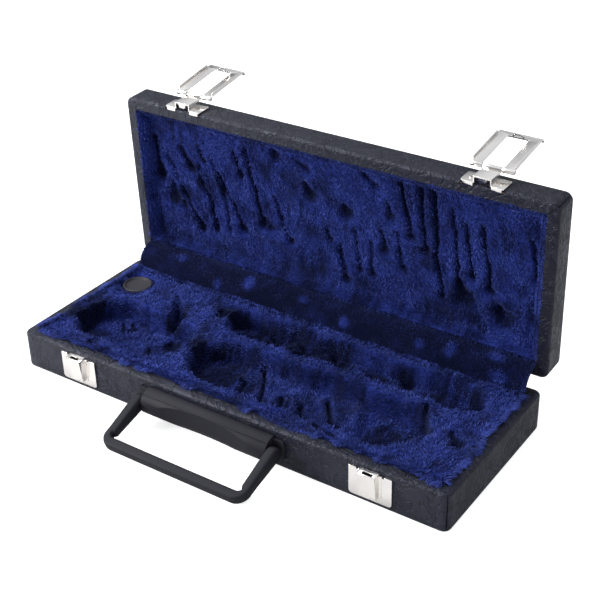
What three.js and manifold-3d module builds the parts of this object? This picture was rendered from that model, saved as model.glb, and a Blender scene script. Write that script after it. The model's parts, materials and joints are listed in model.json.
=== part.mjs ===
// A hard case for a recorder in three joints: a shallow plywood base and lid in black leatherette,
// lined in deep blue plush, with two butt hinges, two snap latches and a folding bail handle.
// Millimetres, +X along the case, +Y towards the hinges, +Z up.
// The origin is the middle of the underside of the base. The lid stands open, as in use.

import * as THREE from 'three';
import { mergeVertices } from 'three/addons/utils/BufferGeometryUtils.js';
import Module from 'manifold-3d';

const wasm = await Module();
wasm.setup();

// Case
const caseLength = 310;
const caseWidth = 116.6;
const baseHeight = 25.7;
const lidHeight = 18.7;
const lidOpenAngle = 88;
const cornerRadius = 5;
const edgeRadius = 2;
const rimGap = 0.5;
const coveringThickness = 0.9;
const wallThickness = 5;
const panelThickness = 3;
const baseTurnIn = 9;
const lidTurnIn = 6;
const seatGap = 0.3;
const innerCornerRadius = 0.8;
const overrun = 10;

// Lining
const flapThickness = 1.6;
const flapTail = 5;
const linerRimDrop = 1.4;
const linerRollRadius = 7;
const linerRollShare = 0.5;
const trayWall = 1.8;
const padThickness = 1.9;
const padCrown = 0.5;
const trayRimDrop = 1;

// Pockets of the base lining: their middles measured from the nearest walls
const pocketFloor = 2.2;
const pocketSlope = 8.5;
const bayFromEnd = 57;
const bayFromFront = 43.3;
const bayHalfLength = 43;
const bayHalfWidth = 25;
const bayDepth = 14;
const frontTroughFromEnd = 122;
const frontTroughFromFront = 42.8;
const frontTroughHalfLength = 84;
const frontTroughHalfWidth = 25.5;
const frontTroughDepth = 13;
const frontWellFromEnd = 67;
const frontWellHalfLength = 24;
const frontWellDepth = 2.5;
const backTroughFromEnd = 117;
const backTroughFromBack = 29.8;
const backTroughHalfLength = 96;
const backTroughHalfWidth = 14.5;
const backTroughDepth = 12;
const slitFromEnd = 52;
const slitFromBack = 23.3;
const slitLength = 35;
const slitLeanAngle = 50;
const slitMouthHalfWidth = 8;
const slitSlope = 5;
const slitDepth = 13;
const linerCells = 46;
const linerRows = 18;
const padCells = 34;
const padRows = 12;

// Grease pot
const potRadius = 9.6;
const potHeight = 12.5;
const potWall = 1.2;
const potEndMargin = 2.7;
const potBackMargin = 7.8;
const potTop = 24.2;
const potCapRadius = 10.4;
const potCapHeight = 5;
const potCapWall = 1.1;
const potCapRimWidth = 1.6;
const potCapDish = 0.9;
const potCapLid = 1.9;
const potFit = 0.3;
const nestWall = 3.6;
const nestRoom = 1.2;

// Butt hinges
const hingeFromEnd = 57;
const hingeOffset = 4.4;
const hingeHalfLength = 15;
const hingeLeafHeight = 11.5;
const hingeLeafThickness = 0.9;
const hingeKnuckleRadius = 2.4;
const hingePinRadius = 1.1;
const hingePinClearance = 0.1;
const hingeKnuckleShare = 0.36;
const hingeEndGap = 0.35;
const hingeRivetX = 9.5;
const hingeRivetDrop = 5.2;
const rivetRadius = 1.1;
const rivetHeadRadius = 2;
const rivetHeadHeight = 0.9;
const rivetLength = 4.4;
const hingeCornerRadius = 1.6;

// Snap latches: two stamped plates and a framed lever on each side
const latchFromEnd = 47.8;
const latchHalfWidth = 13.8;
const latchMetal = 0.8;
const channelHalfWidth = 5.75;
const stepHalfWidth = 7.4;
const stepRise = 0.5;
const keeperBottom = 3.9;
const keeperTop = 22.8;
const keeperShelfBack = 24;
const keeperShelfFront = 23.5;
const keeperShelfOut = 6.2;
const keeperChannelBottom = 7.5;
const keeperChannelOut = 4.3;
const keeperSlotHalfWidth = 3.1;
const keeperSlotFront = 4.9;
const keeperSlotBack = 2.9;
const keeperNotchLeft = 2.2;
const keeperNotchRight = 4.8;
const keeperNotchHeight = 1.3;
const keeperGapStart = 7.6;
const keeperGapEnd = 8.9;
const keeperGapDepth = 1.1;
const keeperCornerRadius = 2.2;
const prongDepth = 2.4;
const prongWideLeft = 9.2;
const prongWideRight = 13;
const prongNarrowLeft = 6.1;
const prongNarrowRight = 7.3;
const sideProngBottom = 7.4;
const sideProngTop = 9.4;
const bracketTop = 11.4;
const bracketCornerRadius = 1.4;
const bracketChannelOut = 4.9;
const bracketChannelTop = 11.4;
const bracketSkirt = 0.3;
const lipDepth = 1.7;
const tongueRootHalfWidth = 3.4;
const tongueTipHalfWidth = 2;
const tongueLength = 2.6;
const pivotRise = 13.5;
const pivotOut = 5.6;
const pivotPinRadius = 0.7;
const pivotPinClearance = 0.1;
const latchKnuckleRadius = 1.5;
const leverOpenAngle = 173;
const leverLength = 37.9;
const leverWindowHalfWidth = 7;
const leverFlangeDepth = 2.6;
const leverFlangeStart = 1.9;
const leverFlangeEndGap = 5.2;
const leverKnuckleGap = 0.35;
const leverCornerRadius = 1.2;
const lipCurlRadius = 1;
const lugHalfWidth = 3.9;
const lugWall = 0.8;
const lugHeight = 2.3;
const lugClearance = 0.35;

// Handle: a half-round block on the base and a folding bail
const handleX = -2.9;
const blockHalfLength = 45.9;
const blockBottom = 4.9;
const blockTop = 21.8;
const blockOut = 10.4;
const blockFootOut = 1.6;
const footOverhang = 0.9;
const footBottom = 7.5;
const footTop = 20.4;
const footCornerRadius = 1.5;
const gripRadius = 173;
const gripDepth = 3.7;
const scoopHalfLength = 39;
const scoopReach = 9;
const scoopHeight = 10.5;
const scoopCentreOut = 13.6;
const scoopCentreZ = 1.8;
const grooveRadius = 0.35;
const grooveShare = 0.78;
const handlePivotOut = 7.4;
const handlePivotZ = 13.6;
const handleHangAngle = 17.8;
const bailThickness = 6.4;
const bailEyeRadius = 4.9;
const bailReach = 33.3;
const bailCornerRadius = 8.5;
const bailWindowRadius = 3;
const bailEdgeRadius = 1.7;
const handlePinRadius = 1.7;
const handlePinClearance = 0.1;
const handlePinDepth = 8;
const handlePinCover = 1.6;
const handleScrewX = 26;
const handleScrewZ = 12.4;
const screwRadius = 1.6;
const screwHeadRadius = 3.4;
const screwHeadHeight = 2;
const screwDepthInBlock = 5.5;
const counterboreFloor = 0.4;

// Facets
const mergeTolerance = 1e-5;
const cornerSegments = 4;
const edgeSegments = 3;
const roundSegments = 28;
const blockSegments = 14;
const smallRoundSegments = 20;

// Worked out from the sizes above
const wallDepth = 2 * coveringThickness + 2 * seatGap + wallThickness;
const halfLength = caseLength / 2;
const halfWidth = caseWidth / 2;
const liningHalfLength = halfLength - wallDepth - seatGap;
const hingeX = halfLength - hingeFromEnd;
const latchX = halfLength - latchFromEnd;
const hingeY = halfWidth + hingeOffset;
const hingeZ = baseHeight + rimGap / 2;
const lidFront = -(caseWidth + hingeOffset);
const lidBack = -hingeOffset;
const lidRim = rimGap / 2;
const lidTop = lidRim + lidHeight;
const lidPanelInner = lidTop - coveringThickness - seatGap - panelThickness;
const basePanelTop = coveringThickness + seatGap + panelThickness;
const flapInnerRadius = hingeOffset + wallDepth + seatGap;
const radians = THREE.MathUtils.degToRad;

const leatherette = new THREE.MeshStandardMaterial({ color: 0x24262b, roughness: 0.55, metalness: 0 });
const plywood = new THREE.MeshStandardMaterial({ color: 0xb08a5a, roughness: 0.8, metalness: 0 });
const plush = new THREE.MeshStandardMaterial({ color: 0x1f2a86, roughness: 0.95, metalness: 0 });
const nickel = new THREE.MeshStandardMaterial({ color: 0xe2dfdb, roughness: 0.22, metalness: 1 });
const steel = new THREE.MeshStandardMaterial({ color: 0x9a9a9c, roughness: 0.35, metalness: 1 });
const blackPlastic = new THREE.MeshStandardMaterial({ color: 0x2e2e34, roughness: 0.5, metalness: 0 });

// A closed geometry becomes a solid that can be joined to and cut by others
function solid(geometry) {
  const bare = geometry.clone();
  bare.deleteAttribute('normal');
  bare.deleteAttribute('uv');
  const merged = mergeVertices(bare, mergeTolerance);
  return new wasm.Manifold(new wasm.Mesh({
    numProp: 3,
    vertProperties: merged.attributes.position.array,
    triVerts: new Uint32Array(merged.index.array),
  }));
}

function union(solids) {
  return solids.reduce((joined, next) => joined.add(next));
}

function cut(body, cutters) {
  return cutters.reduce((left, cutter) => left.subtract(cutter), body);
}

// One named piece of the case, with a material of its own
function piece(name, body, material) {
  const mesh = body.getMesh();
  const geometry = new THREE.BufferGeometry();
  geometry.setAttribute('position', new THREE.BufferAttribute(mesh.vertProperties, 3));
  geometry.setIndex(new THREE.BufferAttribute(mesh.triVerts, 1));
  geometry.computeVertexNormals();
  const made = new THREE.Mesh(geometry, material.clone());
  made.name = name;
  return made;
}

function box(x0, x1, y0, y1, z0, z1) {
  const geometry = new THREE.BoxGeometry(x1 - x0, y1 - y0, z1 - z0);
  geometry.translate((x0 + x1) / 2, (y0 + y1) / 2, (z0 + z1) / 2);
  return solid(geometry);
}

function roundedOutline(halfX, halfY, radius) {
  const outline = new THREE.Shape();
  outline.moveTo(halfX, radius - halfY);
  outline.absarc(halfX - radius, halfY - radius, radius, 0, Math.PI / 2, false);
  outline.absarc(radius - halfX, halfY - radius, radius, Math.PI / 2, Math.PI, false);
  outline.absarc(radius - halfX, radius - halfY, radius, Math.PI, 1.5 * Math.PI, false);
  outline.absarc(halfX - radius, radius - halfY, radius, 1.5 * Math.PI, 2 * Math.PI, false);
  return outline;
}

// A plate with the given outline, from z0 to z1, its flat faces square to Z
function plate(outline, z0, z1, segments = cornerSegments) {
  const geometry = new THREE.ExtrudeGeometry(outline, {
    depth: z1 - z0, bevelEnabled: false, curveSegments: segments,
  });
  geometry.translate(0, 0, z0);
  return geometry;
}

// A block whose outline, swelled by the edge radius, is its widest section, with all edges rounded
function roundedPlate(outline, z0, z1, radius, segments = cornerSegments) {
  const geometry = new THREE.ExtrudeGeometry(outline, {
    depth: z1 - z0 - 2 * radius, bevelEnabled: true, bevelSize: radius, bevelThickness: radius,
    bevelSegments: edgeSegments, curveSegments: segments,
  });
  geometry.translate(0, 0, z0 + radius);
  return geometry;
}

// An outline drawn as (Y, Z) and drawn out along X
function alongX(outline, x0, x1, segments = cornerSegments) {
  const geometry = plate(outline, x0, x1, segments);
  geometry.rotateZ(Math.PI / 2);
  geometry.rotateY(Math.PI / 2);
  return solid(geometry);
}

// An outline drawn as (X, Z) and drawn out along Y
function alongY(outline, y0, y1, segments = cornerSegments) {
  const geometry = plate(outline, -y1, -y0, segments);
  geometry.rotateX(Math.PI / 2);
  return solid(geometry);
}

function rodX(radius, x0, x1, y, z, segments = smallRoundSegments) {
  const geometry = new THREE.CylinderGeometry(radius, radius, x1 - x0, segments);
  geometry.rotateZ(Math.PI / 2);
  geometry.translate((x0 + x1) / 2, y, z);
  return solid(geometry);
}

function rodY(radius, y0, y1, x, z, segments = smallRoundSegments) {
  const geometry = new THREE.CylinderGeometry(radius, radius, y1 - y0, segments);
  geometry.translate(x, (y0 + y1) / 2, z);
  return solid(geometry);
}

function lathed(points, x, y, z, segments = roundSegments) {
  const geometry = new THREE.LatheGeometry(points.map(([r, h]) => new THREE.Vector2(r, h)), segments);
  geometry.rotateX(Math.PI / 2);
  geometry.translate(x, y, z);
  return solid(geometry);
}

function slab(halfX, y0, y1, z0, z1, radius) {
  const geometry = plate(roundedOutline(halfX, (y1 - y0) / 2, radius), z0, z1);
  geometry.translate(0, (y0 + y1) / 2, 0);
  return solid(geometry);
}

// A shallow leatherette skin over a plywood box: open at openZ, closed at closedZ.
// It wraps the outside, turns over the rim and ends on the inner face.
function coveringOf(y0, y1, openZ, closedZ, turnIn) {
  const inwards = Math.sign(closedZ - openZ);
  const inset = edgeRadius;
  const low = Math.min(openZ, closedZ);
  const high = Math.max(openZ, closedZ);
  const outline = roundedOutline(halfLength - inset, (y1 - y0) / 2 - inset, cornerRadius - inset);
  const outside = roundedPlate(outline, low, high, edgeRadius);
  outside.translate(0, (y0 + y1) / 2, 0);
  const skin = coveringThickness;
  const woodRadius = cornerRadius - skin;
  const span = (a, b) => [Math.min(a, b), Math.max(a, b)];
  const turnZ = openZ + inwards * turnIn;
  const room = slab(halfLength - skin, y0 + skin, y1 - skin,
    ...span(turnZ, closedZ - inwards * skin), woodRadius);
  const besideRim = slab(halfLength - skin, y0 + skin, y1 - skin,
    ...span(openZ + inwards * skin, turnZ + inwards * skin), woodRadius);
  const innerFace = wallDepth - skin;
  const turnedIn = slab(halfLength - innerFace, y0 + innerFace, y1 - innerFace,
    ...span(openZ, turnZ + 2 * inwards * skin), innerCornerRadius + skin);
  const mouth = slab(halfLength - wallDepth, y0 + wallDepth, y1 - wallDepth,
    ...span(openZ - inwards * overrun, turnZ + 3 * inwards * skin), innerCornerRadius);
  return cut(solid(outside), [room, besideRim.subtract(turnedIn), mouth]);
}

// The ring of four plywood walls, glued at the corners
function frameOf(y0, y1, z0, z1) {
  const outer = coveringThickness + seatGap;
  const inner = outer + wallThickness;
  const ring = slab(halfLength - outer, y0 + outer, y1 - outer, z0, z1, cornerRadius - outer);
  const opening = slab(halfLength - inner, y0 + inner, y1 - inner,
    z0 - overrun, z1 + overrun, innerCornerRadius);
  return ring.subtract(opening);
}

function panelOf(y0, y1, z0, z1) {
  const outer = coveringThickness + seatGap;
  return slab(halfLength - outer, y0 + outer, y1 - outer, z0, z1, cornerRadius - outer);
}

function steps(from, to, count) {
  return Array.from({ length: count + 1 }, (_, i) => from + (to - from) * i / count);
}

// A soft block on a flat back at z = 0, its front face a grid of heights
function cushion(xs, ys, heightAt) {
  const columns = xs.length;
  const rows = ys.length;
  const points = [];
  const faces = [];
  for (const y of ys) for (const x of xs) points.push(x, y, heightAt(x, y));
  const top = (i, j) => j * columns + i;
  for (let j = 0; j + 1 < rows; j += 1) {
    for (let i = 0; i + 1 < columns; i += 1) {
      faces.push(top(i, j), top(i + 1, j), top(i + 1, j + 1));
      faces.push(top(i, j), top(i + 1, j + 1), top(i, j + 1));
    }
  }
  const around = [];
  for (let i = 0; i + 1 < columns; i += 1) around.push(top(i, 0));
  for (let j = 0; j + 1 < rows; j += 1) around.push(top(columns - 1, j));
  for (let i = columns - 1; i > 0; i -= 1) around.push(top(i, rows - 1));
  for (let j = rows - 1; j > 0; j -= 1) around.push(top(0, j));
  const firstBack = points.length / 3;
  for (const index of around) points.push(points[3 * index], points[3 * index + 1], 0);
  const centre = points.length / 3;
  points.push((xs[0] + xs[columns - 1]) / 2, (ys[0] + ys[rows - 1]) / 2, 0);
  around.forEach((index, k) => {
    const next = (k + 1) % around.length;
    faces.push(index, firstBack + k, around[next]);
    faces.push(around[next], firstBack + k, firstBack + next);
    faces.push(firstBack + next, firstBack + k, centre);
  });
  const geometry = new THREE.BufferGeometry();
  geometry.setAttribute('position', new THREE.BufferAttribute(new Float32Array(points), 3));
  geometry.setIndex(faces);
  return geometry;
}

// 1 inside a pocket with round ends, falling smoothly to 0 over the slope round it
function inPocket(x, y, centreX, centreY, halfX, halfY) {
  const corner = Math.min(halfX, halfY);
  const outX = Math.max(Math.abs(x - centreX) - halfX + corner, 0);
  const outY = Math.max(Math.abs(y - centreY) - halfY + corner, 0);
  const past = (Math.hypot(outX, outY) - corner + pocketSlope) / pocketSlope;
  const clear = THREE.MathUtils.clamp(past, 0, 1);
  return 1 - clear * clear * (3 - 2 * clear);
}

// Base box
const baseLinerFront = -(halfWidth - wallDepth - seatGap);
const baseLinerBack = halfWidth - wallDepth - 2 * seatGap - flapThickness;
const baseLinerBottom = basePanelTop + seatGap;
const linerTop = baseHeight - linerRimDrop;
const bayCentreX = bayFromEnd - halfLength;
const bayCentreY = bayFromFront - halfWidth;
const frontTroughCentreX = halfLength - frontTroughFromEnd;
const frontTroughCentreY = frontTroughFromFront - halfWidth;
const frontWellCentreX = halfLength - frontWellFromEnd;
const backTroughCentreX = halfLength - backTroughFromEnd;
const backTroughCentreY = halfWidth - backTroughFromBack;
const slitX = slitFromEnd - halfLength;
const slitY = halfWidth - slitFromBack;
const slitLean = radians(slitLeanAngle);
const potX = potEndMargin + potCapRadius - liningHalfLength;
const potY = baseLinerBack - potBackMargin - potCapRadius;

// How far (x, y) is inside the tapered slit, from 0 outside it to 1 on its floor
function inSlit(x, y) {
  const along = (x - slitX) * Math.cos(slitLean) - (y - slitY) * Math.sin(slitLean);
  const across = (x - slitX) * Math.sin(slitLean) + (y - slitY) * Math.cos(slitLean);
  const halfThere = slitMouthHalfWidth * along / slitLength;
  const room = Math.min(halfThere - Math.abs(across), slitLength - along, along);
  const inside = THREE.MathUtils.clamp(room / slitSlope, 0, 1);
  return inside * inside * (3 - 2 * inside);
}

function linerHeight(x, y) {
  const edge = Math.min(liningHalfLength - Math.abs(x), y - baseLinerFront, baseLinerBack - y);
  const near = THREE.MathUtils.clamp(1 - edge / linerRollRadius, 0, 1);
  const roll = linerRollRadius * (1 - Math.sqrt(1 - near * near));
  const pockets = [
    bayDepth * inPocket(x, y, bayCentreX, bayCentreY, bayHalfLength, bayHalfWidth),
    frontTroughDepth * inPocket(x, y, frontTroughCentreX, frontTroughCentreY,
      frontTroughHalfLength, frontTroughHalfWidth)
      + frontWellDepth * inPocket(x, y, frontWellCentreX, frontTroughCentreY,
        frontWellHalfLength, frontTroughHalfWidth),
    backTroughDepth * inPocket(x, y, backTroughCentreX, backTroughCentreY,
      backTroughHalfLength, backTroughHalfWidth),
    slitDepth * inSlit(x, y),
  ];
  const floor = baseLinerBottom + pocketFloor;
  return Math.max(linerTop - linerRollShare * roll - Math.max(...pockets), floor);
}

const linerXs = steps(-liningHalfLength, liningHalfLength, linerCells);
const linerYs = steps(baseLinerFront, baseLinerBack, linerRows);
const baseLinerForm = cushion(linerXs, linerYs, (x, y) => linerHeight(x, y) - baseLinerBottom);
baseLinerForm.translate(0, 0, baseLinerBottom);
const potBottom = potTop - potHeight;
const cupRadius = potRadius - potCapWall;
const nestHole = lathed([
  [0, 0], [potCapRadius + nestRoom, 0], [potCapRadius + nestRoom, potHeight + overrun],
  [0, potHeight + overrun],
], potX, potY, potBottom - seatGap);
const nestEdgeX = potX + potCapRadius + nestRoom + nestWall;
const nestEdgeY = potY - potCapRadius - nestRoom - nestWall;
const nestBlock = box(-halfLength, nestEdgeX, nestEdgeY, halfWidth, 0, baseHeight);
const nestSpace = box(-halfLength, nestEdgeX + seatGap, nestEdgeY - seatGap, halfWidth, 0, baseHeight);
const baseCushion = solid(baseLinerForm)
  .intersect(slab(liningHalfLength, baseLinerFront, baseLinerBack, 0, baseHeight, innerCornerRadius));

// Prongs of a latch plate, bent back into the wall. sign is +1 where they point to +Y.
const keeperProngs = [-1, 1].flatMap((side) => [
  [side * prongWideLeft, side * prongWideRight, keeperTop - latchMetal, keeperTop],
  [side * prongNarrowLeft, side * prongNarrowRight, keeperTop - latchMetal, keeperTop],
  [side * (latchHalfWidth - latchMetal), side * latchHalfWidth, sideProngBottom, sideProngTop],
]);
const bracketProngs = [-1, 1].flatMap((side) => [
  [side * prongWideLeft, side * prongWideRight, bracketTop - latchMetal, bracketTop],
]);

function prongBoxes(prongs, y0, y1, grow) {
  return prongs.map(([a, b, z0, z1]) => box(Math.min(a, b) - grow, Math.max(a, b) + grow,
    y0, y1, z0 - grow, z1 + grow));
}

function moved(x, y, z, make) {
  return make().map((body) => {
    const mesh = body.getMesh();
    const geometry = new THREE.BufferGeometry();
    geometry.setAttribute('position', new THREE.BufferAttribute(mesh.vertProperties, 3));
    geometry.setIndex(new THREE.BufferAttribute(mesh.triVerts, 1));
    geometry.translate(x, y, z);
    return solid(geometry);
  });
}

const keeperHoles = [-1, 1].flatMap((side) => moved(side * latchX, -halfWidth, 0,
  () => prongBoxes(keeperProngs, -overrun, prongDepth + seatGap, seatGap)));
const bracketHoles = [-1, 1].flatMap((side) => moved(side * latchX, lidFront, lidRim,
  () => prongBoxes(bracketProngs, -overrun, prongDepth + seatGap, seatGap)));
const rivetXs = [-1, 1].flatMap((side) => [-1, 1].map((end) => side * hingeX + end * hingeRivetX));
const baseRivetZ = hingeZ - hingeRivetDrop - hingeKnuckleRadius;
const lidRivetZ = hingeRivetDrop + hingeKnuckleRadius;
const baseRivetHoles = rivetXs.map((x) => rodY(rivetRadius + seatGap,
  halfWidth - rivetLength - seatGap, halfWidth + overrun, x, baseRivetZ));
const lidRivetHoles = rivetXs.map((x) => rodY(rivetRadius + seatGap,
  lidBack - rivetLength - seatGap, lidBack + overrun, x, lidRivetZ));
const screwInner = -(halfWidth - wallDepth + coveringThickness + seatGap) - counterboreFloor;
const screwHoles = [-1, 1].map((side) => rodY(screwRadius + seatGap,
  -halfWidth - overrun, 0, handleX + side * handleScrewX, handleScrewZ));
const counterbores = [-1, 1].map((side) => rodY(screwHeadRadius + seatGap,
  screwInner - screwHeadHeight - seatGap, 0, handleX + side * handleScrewX, handleScrewZ));
const lipNotches = [-1, 1].flatMap((side) => [-1, 1].map((wing) => {
  const inner = side * latchX + wing * (channelHalfWidth - seatGap);
  const outer = side * latchX + wing * (latchHalfWidth + seatGap);
  return box(Math.min(inner, outer), Math.max(inner, outer), lidFront - overrun,
    lidFront + lipDepth + seatGap, lidRim - overrun, lidRim + latchMetal + seatGap);
}));

const base = new THREE.Group();
base.add(piece('base_frame', cut(
  frameOf(-halfWidth, halfWidth, basePanelTop + seatGap, baseHeight - coveringThickness - seatGap),
  [...keeperHoles, ...baseRivetHoles, ...screwHoles, ...counterbores],
), plywood));
base.add(piece('base_panel', panelOf(-halfWidth, halfWidth, coveringThickness + seatGap, basePanelTop),
  plywood));
base.add(piece('base_covering', cut(
  coveringOf(-halfWidth, halfWidth, baseHeight, 0, baseTurnIn),
  [...keeperHoles, ...baseRivetHoles, ...screwHoles],
), leatherette));
base.add(piece('base_liner', baseCushion.subtract(nestSpace), plush));
base.add(piece('grease_pot_nest', baseCushion.intersect(nestBlock).subtract(nestHole), plush));

// Handle block, its back on the front wall
const handle = new THREE.Group();
handle.position.x = handleX;
const bailInnerHalfWidth = blockHalfLength + seatGap;
const bailOuter = bailInnerHalfWidth + bailThickness;
const footHalfLength = bailOuter + footOverhang;
const blockMiddle = (blockBottom + blockTop) / 2;
const blockRise = (blockTop - blockBottom) / 2;
const blockBack = -halfWidth - seatGap;
const blockOutline = new THREE.Shape();
blockOutline.moveTo(blockBack, blockBottom);
blockOutline.lineTo(blockBack, blockTop);
blockOutline.lineTo(blockBack - blockFootOut, blockTop);
blockOutline.absellipse(blockBack - blockFootOut, blockMiddle, blockOut - blockFootOut, blockRise,
  Math.PI / 2, 1.5 * Math.PI, false);
const scoopGeometry = new THREE.SphereGeometry(1, 2 * roundSegments, roundSegments);
scoopGeometry.scale(scoopHalfLength, scoopReach, scoopHeight);
scoopGeometry.translate(0, -halfWidth - scoopCentreOut, scoopCentreZ);
const grooveOut = blockFootOut + (blockOut - blockFootOut) * Math.sqrt(1 - grooveShare * grooveShare);
const grooveCut = rodX(grooveRadius, -blockHalfLength - overrun, blockHalfLength + overrun,
  blockBack - grooveOut, blockMiddle + grooveShare * blockRise);
const pinHoles = [-1, 1].map((side) => rodX(handlePinRadius + handlePinClearance,
  Math.min(side * (blockHalfLength - handlePinDepth - seatGap), side * (blockHalfLength + overrun)),
  Math.max(side * (blockHalfLength - handlePinDepth - seatGap), side * (blockHalfLength + overrun)),
  -halfWidth - handlePivotOut, handlePivotZ));
const gripWall = blockBack - (blockOut - gripDepth);
const gripAngle = Math.asin(footHalfLength / gripRadius);
const gripOutline = new THREE.Shape();
gripOutline.absarc(0, gripWall - gripRadius, gripRadius,
  Math.PI / 2 - gripAngle, Math.PI / 2 + gripAngle, false);
const gripCut = solid(plate(gripOutline, blockBottom - overrun, blockTop + overrun, roundSegments));
const footOutline = new THREE.Shape();
footOutline.moveTo(footHalfLength, footBottom + footCornerRadius);
footOutline.absarc(footHalfLength - footCornerRadius, footTop - footCornerRadius, footCornerRadius,
  0, Math.PI / 2, false);
footOutline.absarc(footCornerRadius - footHalfLength, footTop - footCornerRadius, footCornerRadius,
  Math.PI / 2, Math.PI, false);
footOutline.absarc(footCornerRadius - footHalfLength, footBottom + footCornerRadius, footCornerRadius,
  Math.PI, 1.5 * Math.PI, false);
footOutline.absarc(footHalfLength - footCornerRadius, footBottom + footCornerRadius, footCornerRadius,
  1.5 * Math.PI, 2 * Math.PI, false);
const foot = alongY(footOutline, blockBack - blockFootOut, blockBack);
const blockScrewHoles = [-1, 1].map((side) => rodY(screwRadius + seatGap,
  blockBack - screwDepthInBlock - seatGap, blockBack + overrun, side * handleScrewX, handleScrewZ));
handle.add(piece('handle_block', cut(
  union([alongX(blockOutline, -blockHalfLength, blockHalfLength, blockSegments), foot]),
  [gripCut, solid(scoopGeometry), grooveCut, ...pinHoles, ...blockScrewHoles],
), blackPlastic));

// Screws from inside the wall into the block, their pan heads in counterbores
for (const [name, side] of [['handle_screw_left', -1], ['handle_screw_right', 1]]) {
  const tip = blockBack - screwDepthInBlock;
  const head = screwInner - screwHeadHeight;
  handle.add(piece(name, union([
    rodY(screwRadius, tip, screwInner, side * handleScrewX, handleScrewZ),
    rodY(screwHeadRadius, head, screwInner, side * handleScrewX, handleScrewZ),
  ]), steel));
}

// Handle bail: two arms with eyes on the pins, and the bar that the hand holds, hanging open
const bail = new THREE.Group();
bail.position.set(0, -halfWidth - handlePivotOut, handlePivotZ);
bail.rotation.x = radians(handleHangAngle);
const barHalf = bailThickness / 2;
const inset = bailEdgeRadius;
const bailEnd = -bailReach - barHalf;
const bailOutline = new THREE.Shape();
bailOutline.moveTo(bailInnerHalfWidth + inset, 0);
bailOutline.lineTo(bailInnerHalfWidth + inset, bailEnd + bailThickness + bailWindowRadius + inset);
bailOutline.absarc(bailInnerHalfWidth - bailWindowRadius + inset,
  bailEnd + bailThickness + bailWindowRadius, bailWindowRadius + inset, 0, -Math.PI / 2, true);
bailOutline.absarc(-bailInnerHalfWidth + bailWindowRadius - inset,
  bailEnd + bailThickness + bailWindowRadius, bailWindowRadius + inset, -Math.PI / 2, -Math.PI, true);
bailOutline.lineTo(-bailInnerHalfWidth - inset, 0);
bailOutline.lineTo(inset - bailOuter, 0);
bailOutline.absarc(bailCornerRadius - bailOuter, bailEnd + bailCornerRadius,
  bailCornerRadius - inset, Math.PI, 1.5 * Math.PI, false);
bailOutline.absarc(bailOuter - bailCornerRadius, bailEnd + bailCornerRadius,
  bailCornerRadius - inset, 1.5 * Math.PI, 2 * Math.PI, false);
bailOutline.lineTo(bailOuter - inset, 0);
const bailFrame = solid(roundedPlate(bailOutline, -barHalf, barHalf, bailEdgeRadius));
const tangent = Math.asin((bailEyeRadius - barHalf) / bailReach);
function bailArm(side) {
  const inner = side * bailInnerHalfWidth;
  const outer = side * bailOuter;
  const outline = new THREE.Shape();
  outline.absarc(0, 0, bailEyeRadius - inset, -Math.PI / 2 - tangent, Math.PI / 2 + tangent, false);
  outline.absarc(-bailReach + bailCornerRadius, 0, barHalf - inset, Math.PI / 2 + tangent,
    1.5 * Math.PI - tangent, false);
  const geometry = roundedPlate(outline, Math.min(inner, outer), Math.max(inner, outer), inset);
  geometry.rotateZ(Math.PI / 2);
  geometry.rotateY(Math.PI / 2);
  return solid(geometry);
}
const bailHoleEnd = bailOuter - handlePinCover;
const bailHole = rodX(handlePinRadius + handlePinClearance, -bailHoleEnd, bailHoleEnd, 0, 0);
bail.add(piece('handle_bail', cut(
  union([bailFrame, bailArm(-1), bailArm(1)]),
  [bailHole],
), blackPlastic));
handle.add(bail);
base.add(handle);
for (const [name, side] of [['handle_pin_left', -1], ['handle_pin_right', 1]]) {
  const inner = side * (blockHalfLength - handlePinDepth);
  const outer = side * (bailHoleEnd - seatGap);
  handle.add(piece(name, rodX(handlePinRadius, Math.min(inner, outer), Math.max(inner, outer),
    -halfWidth - handlePivotOut, handlePivotZ), steel));
}

// Keeper of a latch: a stamped plate with gaps in its top edge and a raised channel, which stands out
// most at its slotted shelf, slopes back below it and is notched at its lower end
function keeper() {
  const back = -seatGap;
  const wingFront = back - latchMetal;
  const outline = new THREE.Shape();
  const r = keeperCornerRadius;
  const top = keeperTop;
  outline.moveTo(-latchHalfWidth, top);
  outline.lineTo(-latchHalfWidth, keeperBottom + r);
  outline.absarc(r - latchHalfWidth, keeperBottom + r, r, Math.PI, 1.5 * Math.PI, false);
  outline.absarc(latchHalfWidth - r, keeperBottom + r, r, 1.5 * Math.PI, 2 * Math.PI, false);
  outline.lineTo(latchHalfWidth, top);
  const wings = alongY(outline, wingFront, back);
  const foot = box(-stepHalfWidth, stepHalfWidth, wingFront - stepRise, back, keeperChannelBottom, top);
  const channelOf = (metal, behind) => alongX(new THREE.Shape([
    new THREE.Vector2(behind, keeperChannelBottom + metal),
    new THREE.Vector2(behind, keeperShelfBack - metal),
    new THREE.Vector2(metal - keeperShelfOut, keeperShelfFront - metal),
    new THREE.Vector2(metal - keeperChannelOut, keeperChannelBottom + metal),
  ]), metal - channelHalfWidth, channelHalfWidth - metal);
  const slot = box(-keeperSlotHalfWidth, keeperSlotHalfWidth, -keeperSlotFront, -keeperSlotBack,
    keeperShelfFront - 2 * latchMetal, keeperShelfBack + overrun);
  const notch = box(keeperNotchLeft, keeperNotchRight, -keeperChannelOut - overrun, -2 * latchMetal,
    keeperChannelBottom - overrun, keeperChannelBottom + keeperNotchHeight);
  const gaps = [[-keeperGapEnd, -keeperGapStart], [keeperGapStart, keeperGapEnd]].map(([x0, x1]) => box(
    x0, x1, wingFront - overrun, overrun, top - keeperGapDepth, top + overrun));
  return cut(
    union([wings, foot, channelOf(0, back), ...prongBoxes(keeperProngs, wingFront, prongDepth, 0)]),
    [channelOf(latchMetal, overrun), slot, notch, ...gaps],
  );
}

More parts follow.
